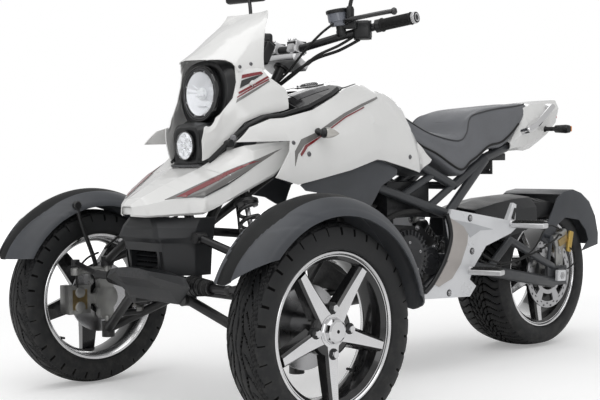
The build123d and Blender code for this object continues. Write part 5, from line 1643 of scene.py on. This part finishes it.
class TRIKE_OT_running_gear(bpy.types.Operator):
    """Builds the coil springs, the chain links, caliper details, hoses and rack boots"""

    bl_idname = "trike.running_gear"
    bl_label = "Running gear"

    def execute(self, context):
        bm = bmesh.new()
        for _, side in SIDES:
            add_coil_over(bm, at(side * 300, 26, 240), at(side * 150, 60, 590), 9)
        add_coil_over(bm, at(0, 1030, 330), at(0, 895, 470), 5)
        from_bmesh("coil_springs", bm, ["chassis_black", "spring_black", "steel", "cast_alloy"],
                   replaces=["shocks"], smooth=45)
        self.chain()
        self.brakes()
        self.boots()
        return {"FINISHED"}

    def chain(self):
        """Rollers and side plates round the two sprockets."""
        bm = bmesh.new()
        big, small = (1460, 262, 89.5), (805, 342, 34)
        gap = math.hypot(big[0] - small[0], big[1] - small[1])
        base = math.atan2(big[1] - small[1], big[0] - small[0])
        tilt = math.acos((small[2] - big[2]) / gap)
        (top_front, top_rear), (low_front, low_rear) = (
            [round_spot(sprocket, base + sign * tilt) for sprocket in (small, big)] for sign in (1, -1))
        route = [towards(top_front, top_rear, k / 40) for k in range(41)]
        route += [round_spot(big, base + tilt - (2 * tilt) * k / 24) for k in range(1, 24)]
        route += [towards(low_rear, low_front, k / 40) for k in range(41)]
        wrap = 2 * math.pi - 2 * tilt
        route += [round_spot(small, base - tilt - wrap * k / 10) for k in range(1, 10)]
        spans = [math.dist(a, b) for a, b in zip(route, route[1:] + route[:1])]
        total = sum(spans)
        count = 2 * round(total / CHAIN_PITCH / 2)
        pins = []
        for k in range(count):
            want = total * k / count
            i = 0
            while want > spans[i]:
                want -= spans[i]
                i += 1
            pins.append(towards(route[i], route[(i + 1) % len(route)], want / spans[i]))
        for k, pin in enumerate(pins):
            after = pins[(k + 1) % count]
            middle = ((pin[0] + after[0]) / 2, (pin[1] + after[1]) / 2)
            lean = math.degrees(math.atan2(after[1] - pin[1], after[0] - pin[0]))
            wide = 5.6 if k % 2 else 4.0
            for x in (CHAIN_X - wide, CHAIN_X + wide):
                add_block(bm, (x, *middle), (1.3, 22, 9.6), 0.5, (lean, 0, 0), 0, 1)
            add_lathe(bm, at(CHAIN_X - 6, *pin), at(CHAIN_X + 6, *pin),
                      [(0, 0), (0, 4), (12, 4), (12, 0)], 8, 1)
        from_bmesh("roller_chain", bm, ["chain_steel", "steel"], replaces=["chain"],
                   smooth=30)

    def brakes(self):
        """Bronze caliper halves, bridge bolts and hoses at the rear and front wheels."""
        bm = bmesh.new()
        lean = (20, 0, 0)
        caliper_y, caliper_z = 1508, 372
        add_block(bm, (106.5, caliper_y, caliper_z), (11, 76, 58), 4, lean, 0, 3)
        add_block(bm, (136, caliper_y, caliper_z), (17, 80, 60), 6, lean, 1, 3)
        for k in (-30, 0, 30):
            add_block(bm, (121, caliper_y + k * 0.94 - 9, caliper_z + k * 0.34 + 26), (40, 15, 9), 3,
                      lean, 1, 2)
        add_block(bm, (146, caliper_y, caliper_z), (6, 52, 26), 2.4, lean, 0, 2)
        for k in (-27, 27):
            place = at(142, caliper_y + k * 0.94 + 5, caliper_z + k * 0.34 - 14)
            add_bolt(bm, place, (1, 0, 0), 5.5, 6, 3)
        add_block(bm, (141, 1490, 310), (8, 42, 82), 3, (0, 0, 0), 1, 2)
        add_bolt(bm, at(144, 1490, 286), (1, 0, 0), 7, 6, 3)
        add_bolt(bm, at(144, 1490, 334), (1, 0, 0), 7, 6, 3)
        add_cable(bm, [(196, 985, 372), (204, 1010, 352), (205, 1079, 327), (205, 1179, 331),
                       (203, 1299, 357), (190, 1400, 384), (158, 1468, 396), (146, 1500, 392)], 3.4, 10, 2)
        add_cable(bm, [(196, 982, 346), (204, 1030, 326), (206, 1101, 320), (206, 1179, 334),
                       (204, 1251, 356), (200, 1300, 392), (188, 1340, 418), (160, 1420, 430),
                       (148, 1496, 410)], 2.6, 10, 2)
        add_cable(bm, [(150, 1530, 352), (166, 1548, 330), (172, 1540, 296), (172, 1500, 276)], 2.6, 10, 2)
        for y, z in ((1079, 325), (1179, 332), (1299, 357)):
            add_block(bm, (204, y, z - 2), (9, 7, 17), 2, (0, 0, 0), 2, 2)
        add_block(bm, (150, 1543, 368), (12, 22, 74), 4, (-14, 0, 0), 4, 3)
        add_block(bm, (172, 1457, 256), (14, 46, 38), 3, (-3, 0, 0), 5, 2)
        add_lathe(bm, at(178, 1457, 256), at(186, 1457, 256),
                  [(0, 0), (0, 13), (4, 12), (4, 7), (6, 6.4), (6, 0)], 6, 3)
        from_bmesh("rear_brake", bm, ["bronze_cast", "cast_alloy", "soft_rubber", "steel", "gold_paint",
                   "silver_paint"], replaces=["rear_caliper"])
        for label, side in SIDES:
            bm = bmesh.new()
            add_block(bm, (side * 440, -88, 262), (16, 64, 74), 7, (0, 0, 0), 0, 3)
            for z in (240, 284):
                add_lathe(bm, at(side * 434, -88, z), at(side * 426, -88, z),
                          [(0, 0), (0, 17), (5, 16), (7, 12), (7, 0)], 28, 1)
            add_cable(bm, [(side * 432, -96, 300), (side * 410, -110, 346), (side * 400, -84, 384),
                           (side * 404, -40, 400)], 3.0, 10, 2)
            from_bmesh("front_brake_details_" + label, bm, ["bronze_cast", "cast_alloy", "soft_rubber"],
                       body="knuckle_" + label)

    def boots(self):
        """Pleated boots of the steering rack and hoses along the front arms."""
        bm = bmesh.new()
        rack = (-112, 348)
        for _, side in SIDES:
            outline = [(0, 12.5)]
            for k in range(9):
                outline += [(1 + 9 * k, 23 - 0.9 * k), (4 + 9 * k, 27.5 - 0.9 * k),
                            (7 + 9 * k, 23 - 0.9 * k)]
            outline += [(82, 15.5), (86, 15.5), (86, 12.5)]
            add_lathe(bm, at(side * 146, *rack), at(side * 250, *rack), outline, 40, 0)
            add_lathe(bm, at(side * 140, *rack), at(side * 150, *rack),
                      [(0, 22), (0, 25.5), (7, 25.5), (7, 22)], 40, 1)
            add_cable(bm, [(side * 120, 60, 560), (side * 176, 20, 520), (side * 250, -30, 476),
                           (side * 320, -40, 440), (side * 384, -30, 412)], 3.2, 10, 0)
        from_bmesh("rack_boots", bm, ["soft_rubber", "steel"], smooth=45)


PLATE_PATCHES = (
    (1, 0.0022, ((834, 484), (900, 453), (921, 427), (917, 400), (885, 338), (843, 296), (781, 275),
                 (761, 285), (816, 345), (847, 407), (844, 447))),
    (4, 0.0012, ((846, 478), (946, 460), (1048, 437), (982, 437), (933, 417), (921, 432))),
    (5, 0.0016, ((1142, 468), (1158, 502), (1168, 500), (1157, 463))),
)


class TRIKE_OT_engine(bpy.types.Operator):
    """Builds the engine's ribbed covers, bolts and pipes, and the footrests"""

    bl_idname = "trike.engine"
    bl_label = "Engine and footrests"

    def execute(self, context):
        bm = bmesh.new()
        cover_y, cover_z = 660, 371
        start, end = at(184, cover_y, cover_z), at(200, cover_y, cover_z)
        add_lathe(bm, start, end, [(0, 0), (0, 82), (3, 84), (7, 82), (9, 72), (11, 66), (13.5, 60),
                                   (14.5, 52), (14.5, 30), (13, 27), (13, 0)], 72, 0)
        for k in range(30):
            angle = 2 * math.pi * k / 30
            spot = round_spot((cover_y, cover_z, 76), angle)
            add_block(bm, (193, *spot), (12, 15, 3.2), 1.0, (math.degrees(angle), 0, 0), 0, 1)
        for k in range(5):
            angle = 2 * math.pi * (k + 0.3) / 5
            add_bolt(bm, at(197, *round_spot((cover_y, cover_z, 46), angle)), (1, 0, 0), 4.5, 4, 1)
        add_lathe(bm, at(148, 800, 350), at(160, 800, 350),
                  [(0, 0), (0, 46), (5, 46), (8, 42), (8, 24), (10, 22), (10, 0)], 48, 0)
        for y, z in ((546, 300), (560, 410), (640, 462), (780, 452), (858, 390), (850, 290), (700, 266)):
            add_bolt(bm, at(118, y, z), (1, 0, 0), 6, 6, 1)
        add_lathe(bm, at(118, 720, 425), at(140, 720, 430),
                  [(0, 0), (0, 26), (10, 25), (14, 18), (22, 16), (22, 0)], 36, 0)
        add_cable(bm, [(126, 560, 420), (150, 580, 470), (160, 640, 500), (150, 720, 505),
                       (120, 790, 500)], 9, 14, 2)
        add_cable(bm, [(120, 560, 330), (150, 500, 330), (156, 420, 350), (130, 330, 420),
                       (90, 200, 450)], 9, 14, 2)
        from_bmesh("engine_covers", bm, ["engine_cover", "steel", "soft_rubber"], smooth=35)
        self.footrests()
        return {"FINISHED"}

    def footrests(self):
        """Painted faces, screws and rims of the plates, and pegs with rubber tops."""
        bm = bmesh.new()
        for _, side in SIDES:
            face = side * 202.2
            for paint, lift, corners in PLATE_PATCHES:
                add_patch(bm, surface_of("footrest_plates"), [(face, y, z) for y, z in corners], paint, lift)
            for y, z in ((933, 478), (942, 374), (830, 252)):
                add_lathe(bm, at(face, y, z), at(face + side * 5, y, z),
                          [(0, 0), (0, 11), (1.4, 10), (1.4, 0)], 24, 5)
                add_bolt(bm, at(face + side * 1.0, y, z), (side, 0, 0), 5.4, 5, 2)
            add_tube(bm, smooth_line([at(face - side * 4, y, z) for y, z in (
                (826, 494), (842, 452), (842, 410), (812, 348), (760, 288), (722, 262))], 8), 7.5, 12, 5)
            for x, y, z, spin, length in ((254, 950, 314, 18, 100), (260, 1160, 450, 12, 112)):
                turn = (0, 0, side * spin)
                angle = math.radians(spin)
                add_block(bm, (side * x, y, z - 4), (length + 6, 38, 17), 5, turn, 0, 3)
                add_block(bm, (side * x, y, z + 5), (length - 2, 33, 9), 3, turn, 3, 2)
                for k in range(7):
                    shift = (k - 3) * length * 0.125
                    spot = (side * (x + shift * math.cos(angle)), y + shift * math.sin(angle), z + 9.5)
                    add_block(bm, spot, (8.4, 30, 8), 2, turn, 3, 2)
                add_lathe(bm, at(side * (x - length / 2 - 14), y - 16, z + 1),
                          at(side * (x - length / 2 + 10), y - 12, z + 1),
                          [(0, 0), (0, 13), (3, 14), (18, 12), (24, 9), (24, 0)], 28, 0)
        from_bmesh("footrests", bm, ["cast_bright", "satin_metal", "steel", "soft_rubber", "plate_shade",
                   "trim_black"], replaces=["footpegs"], smooth=38)


# Stage


PHOTO_WIDTH = 600
FOCAL_PIXELS = 1148.79
CAMERA_PLACE = (2498.98, -1873.82, 671.54)
CAMERA_TURNS = (47.716, -2.091, -0.643)


class TRIKE_OT_stage(bpy.types.Operator):
    """Sets the floor, the lamps, the background and the camera"""

    bl_idname = "trike.stage"
    bl_label = "Stage"

    def execute(self, context):
        scene = context.scene
        look = scene.trike_stage
        scene.view_settings.view_transform = "Standard"
        self.add_floor(scene, look)
        self.add_world(scene)
        self.add_lamps(scene, look)
        self.add_camera(scene)
        return {"FINISHED"}

    def add_floor(self, scene, look):
        """A pale floor that glows a little for the camera, more so far from the vehicle."""
        floor_finish = finish("floor", tuple(look.floor), 0.9, vary=0.004, specular=0.0)
        tree = floor_finish.node_tree
        shader = tree.nodes["Principled BSDF"]
        path = node(tree, "ShaderNodeLightPath")
        shader.inputs["Emission Color"].default_value = (1, 1, 1, 1)
        spread = node(tree, "ShaderNodeTexCoord").outputs["Object"]
        away = node(tree, "ShaderNodeVectorMath", {"Vector": spread}, operation="LENGTH").outputs["Value"]
        glow = maths(tree, "MULTIPLY", path.outputs["Is Camera Ray"], ramp(tree, away, 1.9, 4.6, 0.26, 0.75))
        tree.links.new(glow, shader.inputs["Emission Strength"])
        mesh = bpy.data.meshes.new("floor")
        mesh.from_pydata([(-9, -9, 0), (9, -9, 0), (9, 9, 0), (-9, 9, 0)], [], [(0, 1, 2, 3)])
        floor = bpy.data.objects.new("floor", mesh)
        mesh.materials.append(floor_finish)
        scene.collection.objects.link(floor)

    def add_world(self, scene):
        """A white background that lights the vehicle less than it shows."""
        world = bpy.data.worlds.new("studio")
        scene.world = world
        world.use_nodes = True
        tree = world.node_tree
        background = tree.nodes["Background"]
        path = node(tree, "ShaderNodeLightPath")
        seen = maths(tree, "MAXIMUM", path.outputs["Is Camera Ray"], path.outputs["Is Transmission Ray"])
        tree.links.new(ramp(tree, seen, 0.0, 1.0, 0.60, 1.0), background.inputs["Strength"])
        background.inputs["Color"].default_value = (1, 1, 1, 1)

    def add_lamps(self, scene, look):
        """Large soft lamps above, beside the camera and behind."""
        aim = Vector((0, 0, 0.5))
        for name, place, size, power in (
                ("overhead", (0.6, -1.2, 3.4), (3.6, 3.6), look.key),
                ("camera_side", (3.6, -3.0, 1.6), (2.2, 1.6), look.fill),
                ("behind", (-2.6, 2.6, 2.2), (2.0, 1.6), look.fill * 0.8)):
            lamp = bpy.data.lights.new(name, "AREA")
            lamp.shape = "RECTANGLE"
            lamp.size, lamp.size_y = size
            lamp.energy = power
            holder = bpy.data.objects.new(name, lamp)
            holder.location = place
            holder.rotation_euler = (aim - Vector(place)).to_track_quat("-Z", "Y").to_euler()
            scene.collection.objects.link(holder)

    def add_camera(self, scene):
        """The camera at the photograph's viewing angle."""
        azimuth, pitch, roll = (math.radians(angle) for angle in CAMERA_TURNS)
        ahead = Vector((-math.sin(azimuth) * math.cos(pitch), math.cos(azimuth) * math.cos(pitch),
                        math.sin(pitch)))
        right = Vector((math.cos(azimuth), math.sin(azimuth), 0))
        up = right.cross(ahead)
        tilted_right = math.cos(roll) * right + math.sin(roll) * up
        tilted_up = -math.sin(roll) * right + math.cos(roll) * up
        data = bpy.data.cameras.new("camera")
        data.sensor_width = 36.0
        data.lens = FOCAL_PIXELS / PHOTO_WIDTH * data.sensor_width
        camera = bpy.data.objects.new("camera", data)
        rows = zip(tilted_right, tilted_up, -ahead, at(*CAMERA_PLACE))
        camera.matrix_world = Matrix((*rows, (0, 0, 0, 1)))
        scene.collection.objects.link(camera)
        scene.camera = camera


class TRIKE_PT_panel(bpy.types.Panel):
    """Lists the trike's sizes, colours and operators."""

    bl_idname = "TRIKE_PT_panel"
    bl_label = "Motorized trike"
    bl_space_type = "VIEW_3D"
    bl_region_type = "UI"
    bl_category = "Trike"

    def draw(self, context):
        layout = self.layout
        for group in GROUPS:
            settings = getattr(context.scene, group)
            for key in settings.__annotations__:
                layout.prop(settings, key)
        for operator in OPERATORS:
            layout.operator(operator.bl_idname)


GROUPS = {"trike_finishes": TrikeFinishes, "trike_wheels": TrikeWheels, "trike_stage": TrikeStage}
OPERATORS = (
    TRIKE_OT_finishes,
    TRIKE_OT_front_wheels,
    TRIKE_OT_rear_wheel,
    TRIKE_OT_guards,
    TRIKE_OT_seat,
    TRIKE_OT_lamps,
    TRIKE_OT_trim,
    TRIKE_OT_controls,
    TRIKE_OT_running_gear,
    TRIKE_OT_engine,
    TRIKE_OT_stage,
)


def register():
    """Registers the classes and the scene's property groups."""
    for item in (*GROUPS.values(), *OPERATORS, TRIKE_PT_panel):
        bpy.utils.register_class(item)
    for name, group in GROUPS.items():
        setattr(bpy.types.Scene, name, bpy.props.PointerProperty(type=group))


def unregister():
    """Takes the classes and the property groups away."""
    for name in GROUPS:
        delattr(bpy.types.Scene, name)
    for item in reversed((*GROUPS.values(), *OPERATORS, TRIKE_PT_panel)):
        bpy.utils.unregister_class(item)


def main():
    """Builds everything in order."""
    register()
    for operator in OPERATORS:
        group, name = operator.bl_idname.split(".")
        getattr(getattr(bpy.ops, group), name)()
    bpy.context.view_layer.update()


if __name__ == "__main__":
    main()
